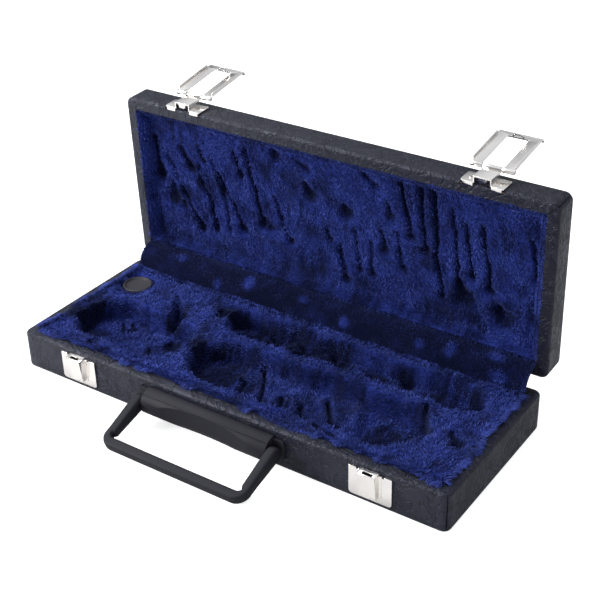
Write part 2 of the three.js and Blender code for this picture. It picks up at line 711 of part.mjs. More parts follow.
// Bracket of a latch: wings with a lip over the rim, and a raised channel that carries the pivot
function bracket() {
  const back = -seatGap;
  const wingFront = back - latchMetal;
  const wing = (side) => {
    const halfWide = (latchHalfWidth - channelHalfWidth + latchMetal) / 2;
    const outline = roundedOutline(halfWide, bracketTop / 2, bracketCornerRadius);
    const geometry = plate(outline, -back, -wingFront);
    geometry.rotateX(Math.PI / 2);
    geometry.translate(side * (latchHalfWidth - halfWide), 0, bracketTop / 2);
    return solid(geometry);
  };
  const lip = (side) => {
    const inner = side * channelHalfWidth;
    const outer = side * (latchHalfWidth - bracketCornerRadius);
    return box(Math.min(inner, outer), Math.max(inner, outer), wingFront, lipDepth, 0, latchMetal);
  };
  const faceFront = -bracketChannelOut;
  const faceBack = faceFront + latchMetal;
  const wall = (side) => {
    const inner = side * (channelHalfWidth - latchMetal);
    const outer = side * channelHalfWidth;
    return box(Math.min(inner, outer), Math.max(inner, outer), faceFront, back,
      bracketSkirt, bracketChannelTop);
  };
  const face = box(-channelHalfWidth, channelHalfWidth, faceFront, faceBack, bracketSkirt, pivotRise);
  const knuckle = rodX(latchKnuckleRadius, -channelHalfWidth, channelHalfWidth, -pivotOut, pivotRise);
  const tongueOutline = new THREE.Shape([
    new THREE.Vector2(-tongueRootHalfWidth, faceFront + latchMetal / 2),
    new THREE.Vector2(tongueRootHalfWidth, faceFront + latchMetal / 2),
    new THREE.Vector2(tongueTipHalfWidth, faceBack + tongueLength),
    new THREE.Vector2(-tongueTipHalfWidth, faceBack + tongueLength),
  ]);
  const tongue = solid(plate(tongueOutline, bracketSkirt, bracketSkirt + latchMetal));
  const bore = rodX(pivotPinRadius + pivotPinClearance, -channelHalfWidth - overrun,
    channelHalfWidth + overrun, -pivotOut, pivotRise);
  return cut(union([wing(-1), wing(1), lip(-1), lip(1), wall(-1), wall(1), face, knuckle, tongue,
    ...prongBoxes(bracketProngs, wingFront, prongDepth, 0)]), [bore]);
}

// Lever of a latch, drawn shut: it hangs from its pivot, frames the channels and snaps its lug, an arch
// bent up from the end of the window, under the keeper. Places are measured from the pivot.
const leverFace = pivotOut - bracketChannelOut;
const keeperCatch = keeperChannelBottom - (baseHeight + rimGap + pivotRise);
const leverWindowEnd = lugClearance - keeperCatch;
function lever() {
  const front = leverFace;
  const back = leverFace + latchMetal;
  const lipStart = -(leverLength - lipCurlRadius - latchMetal);
  const outline = new THREE.Shape();
  outline.moveTo(-latchHalfWidth, 0);
  outline.lineTo(-latchHalfWidth, lipStart);
  outline.lineTo(latchHalfWidth, lipStart);
  outline.lineTo(latchHalfWidth, 0);
  outline.lineTo(leverWindowHalfWidth, 0);
  outline.lineTo(leverWindowHalfWidth, leverCornerRadius - leverWindowEnd);
  outline.absarc(leverWindowHalfWidth - leverCornerRadius, leverCornerRadius - leverWindowEnd,
    leverCornerRadius, 0, -Math.PI / 2, true);
  outline.absarc(leverCornerRadius - leverWindowHalfWidth, leverCornerRadius - leverWindowEnd,
    leverCornerRadius, -Math.PI / 2, -Math.PI, true);
  outline.lineTo(-leverWindowHalfWidth, 0);
  const frame = alongY(outline, front, back);
  const knuckleStart = channelHalfWidth + leverKnuckleGap;
  const knuckle = (side) => rodX(latchKnuckleRadius,
    Math.min(side * knuckleStart, side * latchHalfWidth),
    Math.max(side * knuckleStart, side * latchHalfWidth), 0, 0);
  const flange = (side) => box(
    Math.min(side * (latchHalfWidth - latchMetal), side * latchHalfWidth),
    Math.max(side * (latchHalfWidth - latchMetal), side * latchHalfWidth),
    front, front + leverFlangeDepth, leverFlangeEndGap - leverLength, -leverFlangeStart);
  const curl = new THREE.Shape();
  curl.absarc(front - lipCurlRadius, lipStart, lipCurlRadius + latchMetal, 0, -Math.PI / 2, true);
  curl.lineTo(front - 2 * lipCurlRadius, lipStart - lipCurlRadius - latchMetal);
  curl.lineTo(front - 2 * lipCurlRadius, lipStart - lipCurlRadius);
  curl.absarc(front - lipCurlRadius, lipStart, lipCurlRadius, -Math.PI / 2, 0, false);
  const fingerLip = alongX(curl, -latchHalfWidth, latchHalfWidth);
  const arch = (wall, root) => {
    const outlineD = new THREE.Shape();
    const half = lugHalfWidth - wall;
    outlineD.moveTo(-half, root);
    outlineD.lineTo(half, root);
    outlineD.absellipse(0, root, half, back + lugHeight - wall - root, 0, Math.PI, false);
    return outlineD;
  };
  const lug = solid(plate(arch(0, front + latchMetal / 2), -leverWindowEnd - latchMetal, -leverWindowEnd))
    .subtract(solid(plate(arch(lugWall, back), -leverWindowEnd - overrun, -leverWindowEnd + overrun)));
  const bore = rodX(pivotPinRadius + pivotPinClearance, -latchHalfWidth - overrun,
    latchHalfWidth + overrun, 0, 0);
  return cut(union([frame, knuckle(-1), knuckle(1), flange(-1), flange(1), fingerLip, lug]), [bore]);
}

const keeperBody = keeper();
const bracketBody = bracket();
const leverBody = lever();

// Lid, drawn shut round the hinge axis and turned open
const lid = new THREE.Group();
lid.position.set(0, hingeY, hingeZ);
lid.rotation.x = -radians(lidOpenAngle);
lid.add(piece('lid_frame', cut(
  frameOf(lidFront, lidBack, lidRim + coveringThickness + seatGap, lidPanelInner - seatGap),
  [...bracketHoles, ...lidRivetHoles],
), plywood));
lid.add(piece('lid_panel', panelOf(lidFront, lidBack, lidPanelInner,
  lidTop - coveringThickness - seatGap), plywood));
lid.add(piece('lid_covering', cut(
  coveringOf(lidFront, lidBack, lidRim, lidTop, lidTurnIn),
  [...bracketHoles, ...lidRivetHoles, ...lipNotches],
), leatherette));

// Lid lining: a thin crowned pad in a low tray of plush
const trayFront = lidFront + wallDepth + seatGap;
const trayBack = lidBack - wallDepth - 2 * seatGap - flapThickness;
const trayMiddle = (trayFront + trayBack) / 2;
const trayHalfWidth = (trayBack - trayFront) / 2;
const trayDepth = lidPanelInner - seatGap - lidRim - trayRimDrop;
function trayHeight(x, y) {
  const edge = Math.min(liningHalfLength - Math.abs(x), trayHalfWidth - Math.abs(y));
  const across = 1 - (x / liningHalfLength) ** 2;
  const along = 1 - (y / trayHalfWidth) ** 2;
  return edge < trayWall ? trayDepth : padThickness + padCrown * across * along;
}
function withWalls(half, count) {
  const inside = half - trayWall - trayWall / 2;
  return [-half, trayWall / 2 - half, ...steps(-inside, inside, count), half - trayWall / 2, half];
}
const trayForm = cushion(withWalls(liningHalfLength, padCells), withWalls(trayHalfWidth, padRows),
  trayHeight);
trayForm.rotateX(Math.PI);
trayForm.translate(0, trayMiddle, lidPanelInner - seatGap);
lid.add(piece('lid_liner', solid(trayForm), plush));

// Plush flap that bridges the hinge side, in its open shape, as part of the base
const flapOuterRadius = flapInnerRadius + flapThickness;
const flapEnd = Math.PI - radians(lidOpenAngle);
const flapOutline = new THREE.Shape();
flapOutline.moveTo(hingeY - flapInnerRadius, hingeZ - flapTail);
flapOutline.absarc(hingeY, hingeZ, flapInnerRadius, Math.PI, flapEnd, true);
const tail = (radius) => [
  hingeY + radius * Math.cos(flapEnd) + flapTail * Math.sin(flapEnd),
  hingeZ + radius * Math.sin(flapEnd) - flapTail * Math.cos(flapEnd),
];
flapOutline.lineTo(...tail(flapInnerRadius));
flapOutline.lineTo(...tail(flapOuterRadius));
flapOutline.absarc(hingeY, hingeZ, flapOuterRadius, flapEnd, Math.PI, false);
flapOutline.lineTo(hingeY - flapOuterRadius, hingeZ - flapTail);
base.add(piece('hinge_flap', alongX(flapOutline, -liningHalfLength, liningHalfLength, 2 * edgeSegments),
  plush));

for (const [name, side] of [['left', -1], ['right', 1]]) {
  const seated = piece(`latch_${name}_keeper`, keeperBody, nickel);
  seated.position.set(side * latchX, -halfWidth, 0);
  base.add(seated);
  const carried = new THREE.Group();
  carried.position.set(side * latchX, lidFront, lidRim);
  carried.add(piece(`latch_${name}_bracket`, bracketBody, nickel));
  const swung = new THREE.Group();
  swung.name = `latch_${name}_pivot`;
  swung.position.set(0, -pivotOut, pivotRise);
  swung.rotation.x = -radians(leverOpenAngle);
  swung.add(piece(`latch_${name}_lever`, leverBody, nickel));
  carried.add(swung);
  const pin = rodX(pivotPinRadius, -latchHalfWidth, latchHalfWidth, -pivotOut, pivotRise);
  carried.add(piece(`latch_${name}_pin`, pin, steel));
  lid.add(carried);
}

// Butt hinge: two end knuckles on the base leaf and one between them on the lid leaf
function hingeLeaf(onLid) {
  const up = onLid ? 1 : -1;
  const wallFace = -hingeOffset;
  const leafBack = wallFace + seatGap;
  const leafFront = leafBack + hingeLeafThickness;
  const outer = up * hingeLeafHeight + up * hingeKnuckleRadius;
  const inner = up * (hingeKnuckleRadius - hingeLeafThickness);
  const outline = roundedOutline(hingeHalfLength, Math.abs(outer - inner) / 2, hingeCornerRadius);
  const geometry = plate(outline, -leafFront, -leafBack);
  geometry.rotateX(Math.PI / 2);
  geometry.translate(0, 0, (outer + inner) / 2);
  const middle = hingeKnuckleShare * hingeHalfLength;
  const spans = onLid ? [[-middle, middle]]
    : [[-hingeHalfLength, -middle - hingeEndGap], [middle + hingeEndGap, hingeHalfLength]];
  const webs = spans.map(([x0, x1]) => box(x0, x1, leafBack, 0,
    Math.min(inner, inner + up * hingeLeafThickness), Math.max(inner, inner + up * hingeLeafThickness)));
  const knuckles = spans.map(([x0, x1]) => rodX(hingeKnuckleRadius, x0, x1, 0, 0));
  const bore = rodX(hingePinRadius + hingePinClearance, -hingeHalfLength - overrun,
    hingeHalfLength + overrun, 0, 0);
  const holes = [-1, 1].map((end) => rodY(rivetRadius + seatGap, leafBack - overrun, leafFront + overrun,
    end * hingeRivetX, up * (hingeRivetDrop + hingeKnuckleRadius)));
  return cut(union([solid(geometry), ...webs, ...knuckles]), [bore, ...holes]);
}

function rivet() {
  const headBase = seatGap + hingeLeafThickness + seatGap;
  return lathed([
    [0, -rivetLength], [rivetRadius, -rivetLength], [rivetRadius, headBase], [rivetHeadRadius, headBase],
    [rivetHeadRadius * Math.cos(Math.PI / 6), headBase + rivetHeadHeight * Math.sin(Math.PI / 3)],
    [0, headBase + rivetHeadHeight],
  ], 0, 0, 0, smallRoundSegments);
}

const rivetBody = rivet();
const baseLeafBody = hingeLeaf(false);
const lidLeafBody = hingeLeaf(true);
for (const [name, side] of [['left', -1], ['right', 1]]) {
  const baseLeaf = piece(`hinge_${name}_base_leaf`, baseLeafBody, nickel);
  baseLeaf.position.set(side * hingeX, hingeY, hingeZ);
  base.add(baseLeaf);
  const lidLeaf = piece(`hinge_${name}_lid_leaf`, lidLeafBody, nickel);
  lidLeaf.position.x = side * hingeX;
  lid.add(lidLeaf);
  const pin = piece(`hinge_${name}_pin`,
    rodX(hingePinRadius, -hingeHalfLength, hingeHalfLength, 0, 0), steel);
  pin.position.set(side * hingeX, hingeY, hingeZ);
  base.add(pin);
  for (const [end, which] of [[-1, 'outer'], [1, 'inner']]) {
    const x = side * (hingeX - end * hingeRivetX);
    const low = piece(`hinge_${name}_base_rivet_${which}`, rivetBody, steel);
    low.position.set(x, halfWidth, baseRivetZ);
    low.rotation.x = -Math.PI / 2;
    base.add(low);
    const high = piece(`hinge_${name}_lid_rivet_${which}`, rivetBody, steel);
    high.position.set(x, lidBack, lidRivetZ);
    high.rotation.x = -Math.PI / 2;
    lid.add(high);
  }
}

// Grease pot with a screw cap, pressed into a round hole in the base lining
const cupTop = potTop - potCapLid - potFit;
const cup = lathed([
  [0, 0], [cupRadius, 0], [cupRadius, cupTop - potBottom], [cupRadius - potWall, cupTop - potBottom],
  [cupRadius - potWall, potWall], [0, potWall],
], potX, potY, potBottom);
base.add(piece('grease_pot', cup, blackPlastic));
const capSkirt = potTop - potCapHeight;
const capInner = cupRadius + potFit;
const cap = lathed([
  [capInner, 0], [potCapRadius, 0], [potCapRadius, potCapHeight - potCapWall / 2],
  [potCapRadius - potCapWall / 2, potCapHeight], [potCapRadius - potCapRimWidth, potCapHeight],
  [potCapRadius - potCapRimWidth - potCapDish, potCapHeight - potCapDish], [0, potCapHeight - potCapDish],
  [0, potCapHeight - potCapLid], [capInner, potCapHeight - potCapLid], [capInner, 0],
], potX, potY, capSkirt);
base.add(piece('grease_pot_cap', cap, blackPlastic));

const recorderCase = new THREE.Group();
recorderCase.add(base, lid);
export default recorderCase;
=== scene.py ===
# %% [markdown]
# This lesson dresses an open recorder case: black leatherette over a thin wooden box, deep blue
# plush inside, nickel latches and hinges, and a black plastic handle. The solids come first, as a
# fixed frame in metres, and every new piece rides on one of its moving bodies.

# %% Load the fixed frame
import json
import math

import bpy
import numpy as np
from mathutils import Matrix, Vector


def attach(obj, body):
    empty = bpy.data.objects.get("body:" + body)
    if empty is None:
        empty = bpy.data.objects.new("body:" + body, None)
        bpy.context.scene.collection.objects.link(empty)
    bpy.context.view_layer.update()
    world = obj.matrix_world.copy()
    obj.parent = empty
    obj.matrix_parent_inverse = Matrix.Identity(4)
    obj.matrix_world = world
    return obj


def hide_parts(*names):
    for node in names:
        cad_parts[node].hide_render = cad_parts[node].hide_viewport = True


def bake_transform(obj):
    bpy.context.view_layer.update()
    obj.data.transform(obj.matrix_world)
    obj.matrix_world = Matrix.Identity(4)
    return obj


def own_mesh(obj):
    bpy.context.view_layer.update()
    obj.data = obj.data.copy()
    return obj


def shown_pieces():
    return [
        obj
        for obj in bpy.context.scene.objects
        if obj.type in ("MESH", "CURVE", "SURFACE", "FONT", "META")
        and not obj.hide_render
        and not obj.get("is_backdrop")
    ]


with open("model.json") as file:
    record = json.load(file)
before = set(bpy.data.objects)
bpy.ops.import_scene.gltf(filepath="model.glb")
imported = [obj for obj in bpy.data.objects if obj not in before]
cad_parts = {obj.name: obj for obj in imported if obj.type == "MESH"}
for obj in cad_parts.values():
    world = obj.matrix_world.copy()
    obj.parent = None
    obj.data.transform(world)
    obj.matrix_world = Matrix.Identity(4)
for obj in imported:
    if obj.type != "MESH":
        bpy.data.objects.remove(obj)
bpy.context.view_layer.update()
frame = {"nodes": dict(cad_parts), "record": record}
nodes = frame["nodes"]

# %% [markdown]
# The sizes of the case are written once, in millimetres, and turned into metres where they are
# used. The lid is easiest to think of shut, lying flat round its hinge axis, so one matrix then
# swings every lid piece to the open place in which the case stands.

# %% Sizes of the case
mm = 0.001
case_length, case_width = 310.0, 116.6
base_height, lid_height = 25.7, 18.7
wall_depth, cloth_thickness = 7.4, 0.9
hinge_offset, rim_gap, open_angle = 4.4, 0.5, 88.0
seat_gap, flap_gap, flap_cloth = 0.3, 0.6, 1.6
latch_x = 107.2
hinge_y = case_width / 2 + hinge_offset
hinge_z = base_height + rim_gap / 2
lining_half = case_length / 2 - wall_depth - seat_gap
lid_swing = (Matrix.Translation((0, hinge_y * mm, hinge_z * mm))
             @ Matrix.Rotation(-math.radians(open_angle), 4, "X"))
lid_middle = -(hinge_offset + case_width / 2)
lid_top = rim_gap / 2 + lid_height
print("hinge axis at", hinge_y, hinge_z, "mm")

# %% [markdown]
# A few small helpers do by code what a hand does with the mouse: clear the selection, pick edges or
# faces by where they are, and apply a modifier. Everything is deselected first, because an operator
# acts on all that is selected.

# %% Helpers for modelling
def deselect():
    if bpy.context.mode != "OBJECT":
        bpy.ops.object.mode_set(mode="OBJECT")
    bpy.ops.object.select_all(action="DESELECT")


def make_active(piece):
    deselect()
    piece.select_set(True)
    bpy.context.view_layer.objects.active = piece


def pick(piece, kind, wanted):
    """Goes to edit mode with only the wanted edges or faces selected."""
    make_active(piece)
    bpy.context.tool_settings.mesh_select_mode = (False, kind == "EDGE", kind == "FACE")
    mesh = piece.data
    for part in (mesh.vertices, mesh.edges, mesh.polygons):
        part.foreach_set("select", [False] * len(part))
    if kind == "EDGE":
        for edge in mesh.edges:
            edge.select = wanted(*(mesh.vertices[i].co / mm for i in edge.vertices))
    else:
        for face in mesh.polygons:
            face.select = wanted(face.center / mm, face.normal)
    bpy.ops.object.mode_set(mode="EDIT")


def object_mode():
    bpy.ops.object.mode_set(mode="OBJECT")


def apply_place(piece, matrix):
    make_active(piece)
    piece.matrix_world = matrix @ piece.matrix_world
    bpy.ops.object.transform_apply(location=True, rotation=True, scale=True)


def apply_modifier(piece, kind, **values):
    make_active(piece)
    modifier = piece.modifiers.new(kind.title(), kind)
    for key, value in values.items():
        setattr(modifier, key, value)
    bpy.ops.object.modifier_apply(modifier=modifier.name)


def add_object(name, data):
    made = bpy.data.objects.new(name, data)
    bpy.context.collection.objects.link(made)
    return made


def paint(piece, finish):
    piece.data.materials.clear()
    piece.data.materials.append(finish)


def cut_away(piece, tool):
    """Takes the tool's shape out of the piece and throws the tool away."""
    apply_modifier(piece, "BOOLEAN", object=tool, operation="DIFFERENCE", solver="EXACT")
    bpy.data.objects.remove(tool)


def edit_all(piece):
    make_active(piece)
    bpy.ops.object.mode_set(mode="EDIT")
    bpy.ops.mesh.select_all(action="SELECT")


def extrude_edges(way):
    bpy.ops.mesh.extrude_edges_move(TRANSFORM_OT_translate={"value": way})


def face_outwards():
    """Leaves edit mode with every face turned outwards."""
    bpy.ops.mesh.select_all(action="SELECT")
    bpy.ops.mesh.normals_make_consistent(inside=False)
    object_mode()


def smooth(piece, degrees):
    make_active(piece)
    bpy.ops.object.shade_smooth_by_angle(angle=math.radians(degrees))


def sized(name, size):
    """Names the primitive that was just added, and gives it its size."""
    piece = bpy.context.object
    piece.name = name
    piece.scale = size
    bpy.ops.object.transform_apply(location=True, rotation=True, scale=True)
    return piece


def box(name, low, high):
    deselect()
    low, high = Vector(low) * mm, Vector(high) * mm
    bpy.ops.mesh.primitive_cube_add(size=1, location=(low + high) / 2)
    return sized(name, high - low)


# %% [markdown]
# The photograph was taken from the front right and a good way above. The camera gets that direction,
# a slight roll and the long lens, which were solved from the straight edges of the box.

# %% Camera at the photograph's place
azimuth, elevation, roll = math.radians(34.72), math.radians(30.51), math.radians(-1.31)
camera_place = Vector((384.5, -522.4, 450.0)) * mm
lens_length, sensor_width = 75.18, 36
back = Vector((math.sin(azimuth) * math.cos(elevation), -math.cos(azimuth) * math.cos(elevation),
               math.sin(elevation)))
level_right = (-back).cross(Vector((0, 0, 1))).normalized()
level_up = level_right.cross(-back)
right = level_right * math.cos(roll) + level_up * math.sin(roll)
up = level_up * math.cos(roll) - level_right * math.sin(roll)
camera_data = bpy.data.cameras.new("camera")
camera_data.lens, camera_data.sensor_width = lens_length, sensor_width
camera_data.clip_start, camera_data.clip_end = 0.05, 10
camera = add_object("camera", camera_data)
camera.matrix_world = Matrix.Translation(camera_place) @ Matrix((right, up, back)).transposed().to_4x4()
bpy.context.scene.camera = camera
print("camera at", [round(v, 3) for v in camera.location])

# %% [markdown]
# The sky, the floor and every finish are small trees of shader nodes. One helper adds a node with its
# settings, its kind written without ShaderNode, and fills its sockets. A socket gets a number, or a
# wire where the value given is another node's output. The others add what is used most: a pattern on
# a vector, a stretched value and a sum.

# %% Helpers for node trees
def fill(tree, made, sockets):
    for key, value in sockets.items():
        if isinstance(value, bpy.types.NodeSocket):
            tree.links.new(value, made.inputs[key])
        else:
            made.inputs[key].default_value = value


def node(tree, kind, sockets=None, **settings):
    made = tree.nodes.new("ShaderNode" + kind)
    for key, value in settings.items():
        setattr(made, key, value)
    fill(tree, made, sockets or {})
    return made


def pattern(tree, kind, vector, sockets=None, **settings):
    return node(tree, kind, {"Vector": vector, **(sockets or {})}, **settings).outputs[0]


def remap(tree, value, limits):
    return node(tree, "MapRange", {"Value": value, **limits}).outputs["Result"]


def math_node(tree, operation, *values):
    return node(tree, "Math", dict(enumerate(values)), operation=operation).outputs[0]


# %% [markdown]
# Light in the photograph is soft and comes from above and a little from the left. Large area lamps
# and a pale sky give it. The sky is bright above and dim near the ground, so that metal shows both
# light and dark. The floor and the background look white to the camera, and the floor keeps a faint
# shadow of the case.

# %% Sky
sky_limits = {"From Min": -0.2, "From Max": 0.9, "To Min": 0.02, "To Max": 0.92}
sky_tint = (0.92, 0.95, 1, 1)
bpy.context.scene.view_settings.view_transform = "Standard"
world = bpy.data.worlds.new("studio")
bpy.context.scene.world = world
world.use_nodes = True
tree = world.node_tree
tree.nodes.clear()
rays = node(tree, "LightPath").outputs
seen = math_node(tree, "MAXIMUM", rays["Is Camera Ray"], rays["Is Transmission Ray"])
way = node(tree, "SeparateXYZ", {0: node(tree, "TexCoord").outputs["Generated"]})
strength = remap(tree, way.outputs["Z"], sky_limits)
ambient = node(tree, "Background", {"Color": sky_tint, "Strength": strength})
white = node(tree, "Background", {"Color": (1, 1, 1, 1), "Strength": 1.0})
mixed = node(tree, "MixShader", {0: seen, 1: ambient.outputs[0], 2: white.outputs[0]})
node(tree, "OutputWorld", {"Surface": mixed.outputs[0]})
print("sky:", world.name)

# %% Lamps
# Each row is a name, a place, the spot it points at, its width and height in metres, and its watts.
lamps = [("lamp_overhead", (-0.55, 0.05, 0.85), (0, 0.02, 0.03), (0.5, 0.4), 5.5),
         ("lamp_front_left", (-0.95, -0.75, 0.5), (0, 0, 0.05), (0.4, 0.4), 16.0),
         ("lamp_front_right", (0.8, -0.6, 0.35), (0.05, 0, 0.05), (0.35, 0.35), 0.8)]
for name, place, target, size, power in lamps:
    data = bpy.data.lights.new(name, "AREA")
    data.shape, data.size, data.size_y, data.energy = "RECTANGLE", size[0], size[1], power
    lamp = add_object(name, data)
    lamp.location = place
    lamp.rotation_euler = (Vector(target) - Vector(place)).to_track_quat("-Z", "Y").to_euler()
print("lamps:", len(lamps))

# %% Floor
floor_side, paper_tone, glow_strength = 6, 0.7, 0.72
deselect()
bpy.ops.mesh.primitive_plane_add(size=1, location=(0, 0, 0))
floor = sized("floor", (floor_side, floor_side, 1))
floor_material = bpy.data.materials.new("floor")
floor_material.use_nodes = True
tree = floor_material.node_tree
tree.nodes.clear()
paper = node(tree, "BsdfDiffuse", {"Color": (paper_tone, paper_tone, paper_tone, 1)}).outputs[0]
glow = node(tree, "Emission", {"Strength": glow_strength}).outputs[0]
both = node(tree, "AddShader", {0: paper, 1: glow}).outputs[0]
to_camera = node(tree, "LightPath").outputs["Is Camera Ray"]
chosen = node(tree, "MixShader", {0: to_camera, 1: paper, 2: both})
node(tree, "OutputMaterial", {"Surface": chosen.outputs[0]})
paint(floor, floor_material)
floor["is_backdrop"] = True
print("floor:", floor_side, "m wide")

# %% [markdown]
# Several finishes share the same small effects: fine grain, faint scratches and a slow variation of
# tone. Each effect is a node group with named inputs, built once. A group puts out masks and values
# only, and the shader itself stays in the material.

# %% Maker of node groups
def new_group(name, inputs, outputs):
    group = bpy.data.node_groups.new(name, "ShaderNodeTree")
    group.interface.new_socket("Vector", in_out="INPUT", socket_type="NodeSocketVector")
    for label, value in inputs.items():
        group.interface.new_socket(label, in_out="INPUT", socket_type="NodeSocketFloat").default_value = value
    for label in outputs:
        group.interface.new_socket(label, in_out="OUTPUT", socket_type="NodeSocketFloat")
    return group, group.nodes.new("NodeGroupInput").outputs, group.nodes.new("NodeGroupOutput")


# %% [markdown]
# Leatherette is pressed vinyl. Its grain is a net of tiny pebbles with three things on top: short
# folds that show in patches only, long creases combed mostly one way, and slow waves along them.
# Distance-to-edge Voronoi cells, warped by noise, give the pebbles and folds. The creases run where a
# stretched noise passes its middle value.

# %% Grain group
pebble_height, wave_height, streak_share = 0.05, 0.45, 0.7
grain_group, given, grain_out = new_group(
    "pressed_grain", {"Pebble": 900.0, "Wrinkle": 160.0, "Wrinkle Depth": 0.6}, ("Height", "Crease"))
tree, vector = grain_group, given["Vector"]
warp = node(tree, "TexNoise", {"Vector": vector, "Scale": 90}).outputs["Color"]
warped = node(tree, "MixRGB", {"Fac": 0.012, "Color1": vector, "Color2": warp},
              blend_type="LINEAR_LIGHT").outputs[0]
pebbles = pattern(tree, "TexVoronoi", vector, {"Scale": given["Pebble"]}, feature="DISTANCE_TO_EDGE")
pebble_top = remap(tree, pebbles, {"From Max": 0.25})
stretched = pattern(tree, "Mapping", warped, {"Scale": (0.55, 0.55, 1.6)})
folds = pattern(tree, "TexVoronoi", stretched, {"Scale": given["Wrinkle"]}, feature="DISTANCE_TO_EDGE")
flat_share = remap(tree, folds, {"From Max": 0.2})
patches = pattern(tree, "TexNoise", vector, {"Scale": 28})
patch_mask = remap(tree, patches, {"From Min": 0.5, "From Max": 0.72, "To Max": 0.6})
crease = math_node(tree, "MULTIPLY", math_node(tree, "SUBTRACT", 1.0, flat_share), patch_mask)
combed = pattern(tree, "Mapping", warped, {"Rotation": (0.0, 0.25, 0.75), "Scale": (0.2, 1.0, 1.0)},
                 vector_type="TEXTURE")
streak = pattern(tree, "TexNoise", combed, {"Scale": 55, "Detail": 3})
valley = math_node(tree, "ABSOLUTE", math_node(tree, "SUBTRACT", streak, 0.5))
streak_line = remap(tree, valley, {"From Max": 0.08, "To Min": 1.0, "To Max": 0.0})
crease = math_node(tree, "MAXIMUM", crease, math_node(tree, "MULTIPLY", streak_line, streak_share))
deep = math_node(tree, "MULTIPLY", crease, given["Wrinkle Depth"])
waves = pattern(tree, "TexNoise", combed, {"Scale": 30, "Detail": 1})
soft_height = math_node(tree, "ADD", math_node(tree, "MULTIPLY", pebble_top, pebble_height),
                        math_node(tree, "MULTIPLY", waves, wave_height))
fill(tree, grain_out, {"Height": math_node(tree, "SUBTRACT", soft_height, deep), "Crease": crease})
print("group:", grain_group.name)

# %% [markdown]
# Metal and plastic that hands touch carry hairline scratches and soft smudges. The group gives a
# smudge value for roughness and a scratch value for a very faint bump.

# %% Handling marks group
marks_group, given, marks_out = new_group("handling_marks", {"Fineness": 60.0}, ("Smudge", "Scratch"))
tree, vector = marks_group, given["Vector"]
smudge = pattern(tree, "TexNoise", vector, {"Detail": 4, "Scale": given["Fineness"]})
drawn = pattern(tree, "Mapping", vector, {"Rotation": (0.3, 0.2, 0.5), "Scale": (1.0, 14.0, 14.0)})
hair = pattern(tree, "TexNoise", drawn, {"Scale": 300, "Detail": 3})
scratch = remap(tree, hair, {"From Min": 0.62, "From Max": 0.75})
fill(tree, marks_out, {"Smudge": smudge, "Scratch": scratch})
print("group:", marks_group.name)

# %% [markdown]
# Every finish starts in the same way: a new material, its shader, and the Object coordinates that its
# patterns read. A ramp turns a value into colours or greys for one of the shader's sockets, and a
# bump turns a height into fine relief.

# %% Helpers for finishes
def material(name):
    made = bpy.data.materials.new(name)
    made.use_nodes = True
    tree = made.node_tree
    return made, tree, tree.nodes["Principled BSDF"], node(tree, "TexCoord").outputs["Object"]


def use_group(tree, group, vector, sockets):
    return node(tree, "Group", {"Vector": vector, **sockets}, node_tree=group).outputs


def ramp(tree, value, *stops):
    made = node(tree, "ValToRGB", {"Fac": value})
    for spot, (at, colour) in enumerate(stops):
        element = made.color_ramp.elements[spot] if spot < 2 else made.color_ramp.elements.new(at)
        element.position, element.color = at, (*colour, 1)
    return made.outputs["Color"]


def grey_ramp(tree, value, *stops):
    return ramp(tree, value, *((at, (grey,) * 3) for at, grey in stops))


def bump(tree, height, strength, distance):
    relief = {"Height": height, "Strength": strength, "Distance": distance}
    return node(tree, "Bump", relief).outputs["Normal"]


# %% [markdown]
# The leatherette is nearly black with a cool cast. Creases are duller and are painted darker as shade,
# and the tops of the pebbles catch the light.

# %% Leatherette
leatherette, tree, shader, place = material("leatherette")
grain = use_group(tree, grain_group, place, {"Pebble": 1150.0, "Wrinkle": 150.0, "Wrinkle Depth": 0.42})
# The base colour darkens in the creases: painted shade.
fill(tree, shader, {
    "Base Color": ramp(tree, grain["Crease"], (0.0, (0.009, 0.0095, 0.020)), (1.0, (0.003, 0.003, 0.006))),
    "Roughness": grey_ramp(tree, grain["Crease"], (0.0, 0.36), (1.0, 0.6)),
    "Specular IOR Level": 0.38, "Specular Tint": (0.82, 0.87, 1.0, 1),
    "Normal": bump(tree, grain["Height"], 1.0, 0.0012)})
print("finish:", leatherette.name)

# %% [markdown]
# Plush changes tone with the way its pile lies. The linings carry an attribute that says how hard each
# spot is pressed down and also holds painted shade: on pocket walls and in depths, in patches, on a band
# at the back of the lid's tray and over the hinge flap. Pressed pile and painted shade show dark, and
# standing pile shows a clear royal blue with a velvet sheen. Fine noise breaks the surface into fibres.

# %% Plush
plush, tree, shader, place = material("plush")
# This attribute holds pressed pile and painted shade, and both darken the plush.
pressed = node(tree, "Attribute", attribute_name="crush_and_shade").outputs["Fac"]
slow = pattern(tree, "TexNoise", place, {"Scale": 90, "Detail": 8})
fibre_map = pattern(tree, "Mapping", place, {"Scale": (1.0, 0.45, 0.45)})
fibre = pattern(tree, "TexNoise", fibre_map, {"Scale": 900, "Detail": 4})
tone = math_node(tree, "ADD", math_node(tree, "MULTIPLY", slow, 0.55), math_node(tree, "MULTIPLY", fibre, 0.45))
tone = math_node(tree, "SUBTRACT", tone, math_node(tree, "MULTIPLY", pressed, 0.55))
fill(tree, shader, {
    "Base Color": ramp(tree, tone, (0.0, (0.0010, 0.0014, 0.010)), (0.25, (0.004, 0.007, 0.046)),
                       (0.5, (0.014, 0.024, 0.15)), (0.66, (0.024, 0.041, 0.24))),
    "Roughness": 0.9, "Specular IOR Level": 0.15, "Specular Tint": (0.35, 0.45, 1.0, 1),
    "Sheen Weight": 0.35, "Sheen Roughness": 0.4, "Sheen Tint": (0.25, 0.35, 1.0, 1),
    "Normal": bump(tree, tone, 0.8, 0.0008)})
print("finish:", plush.name)
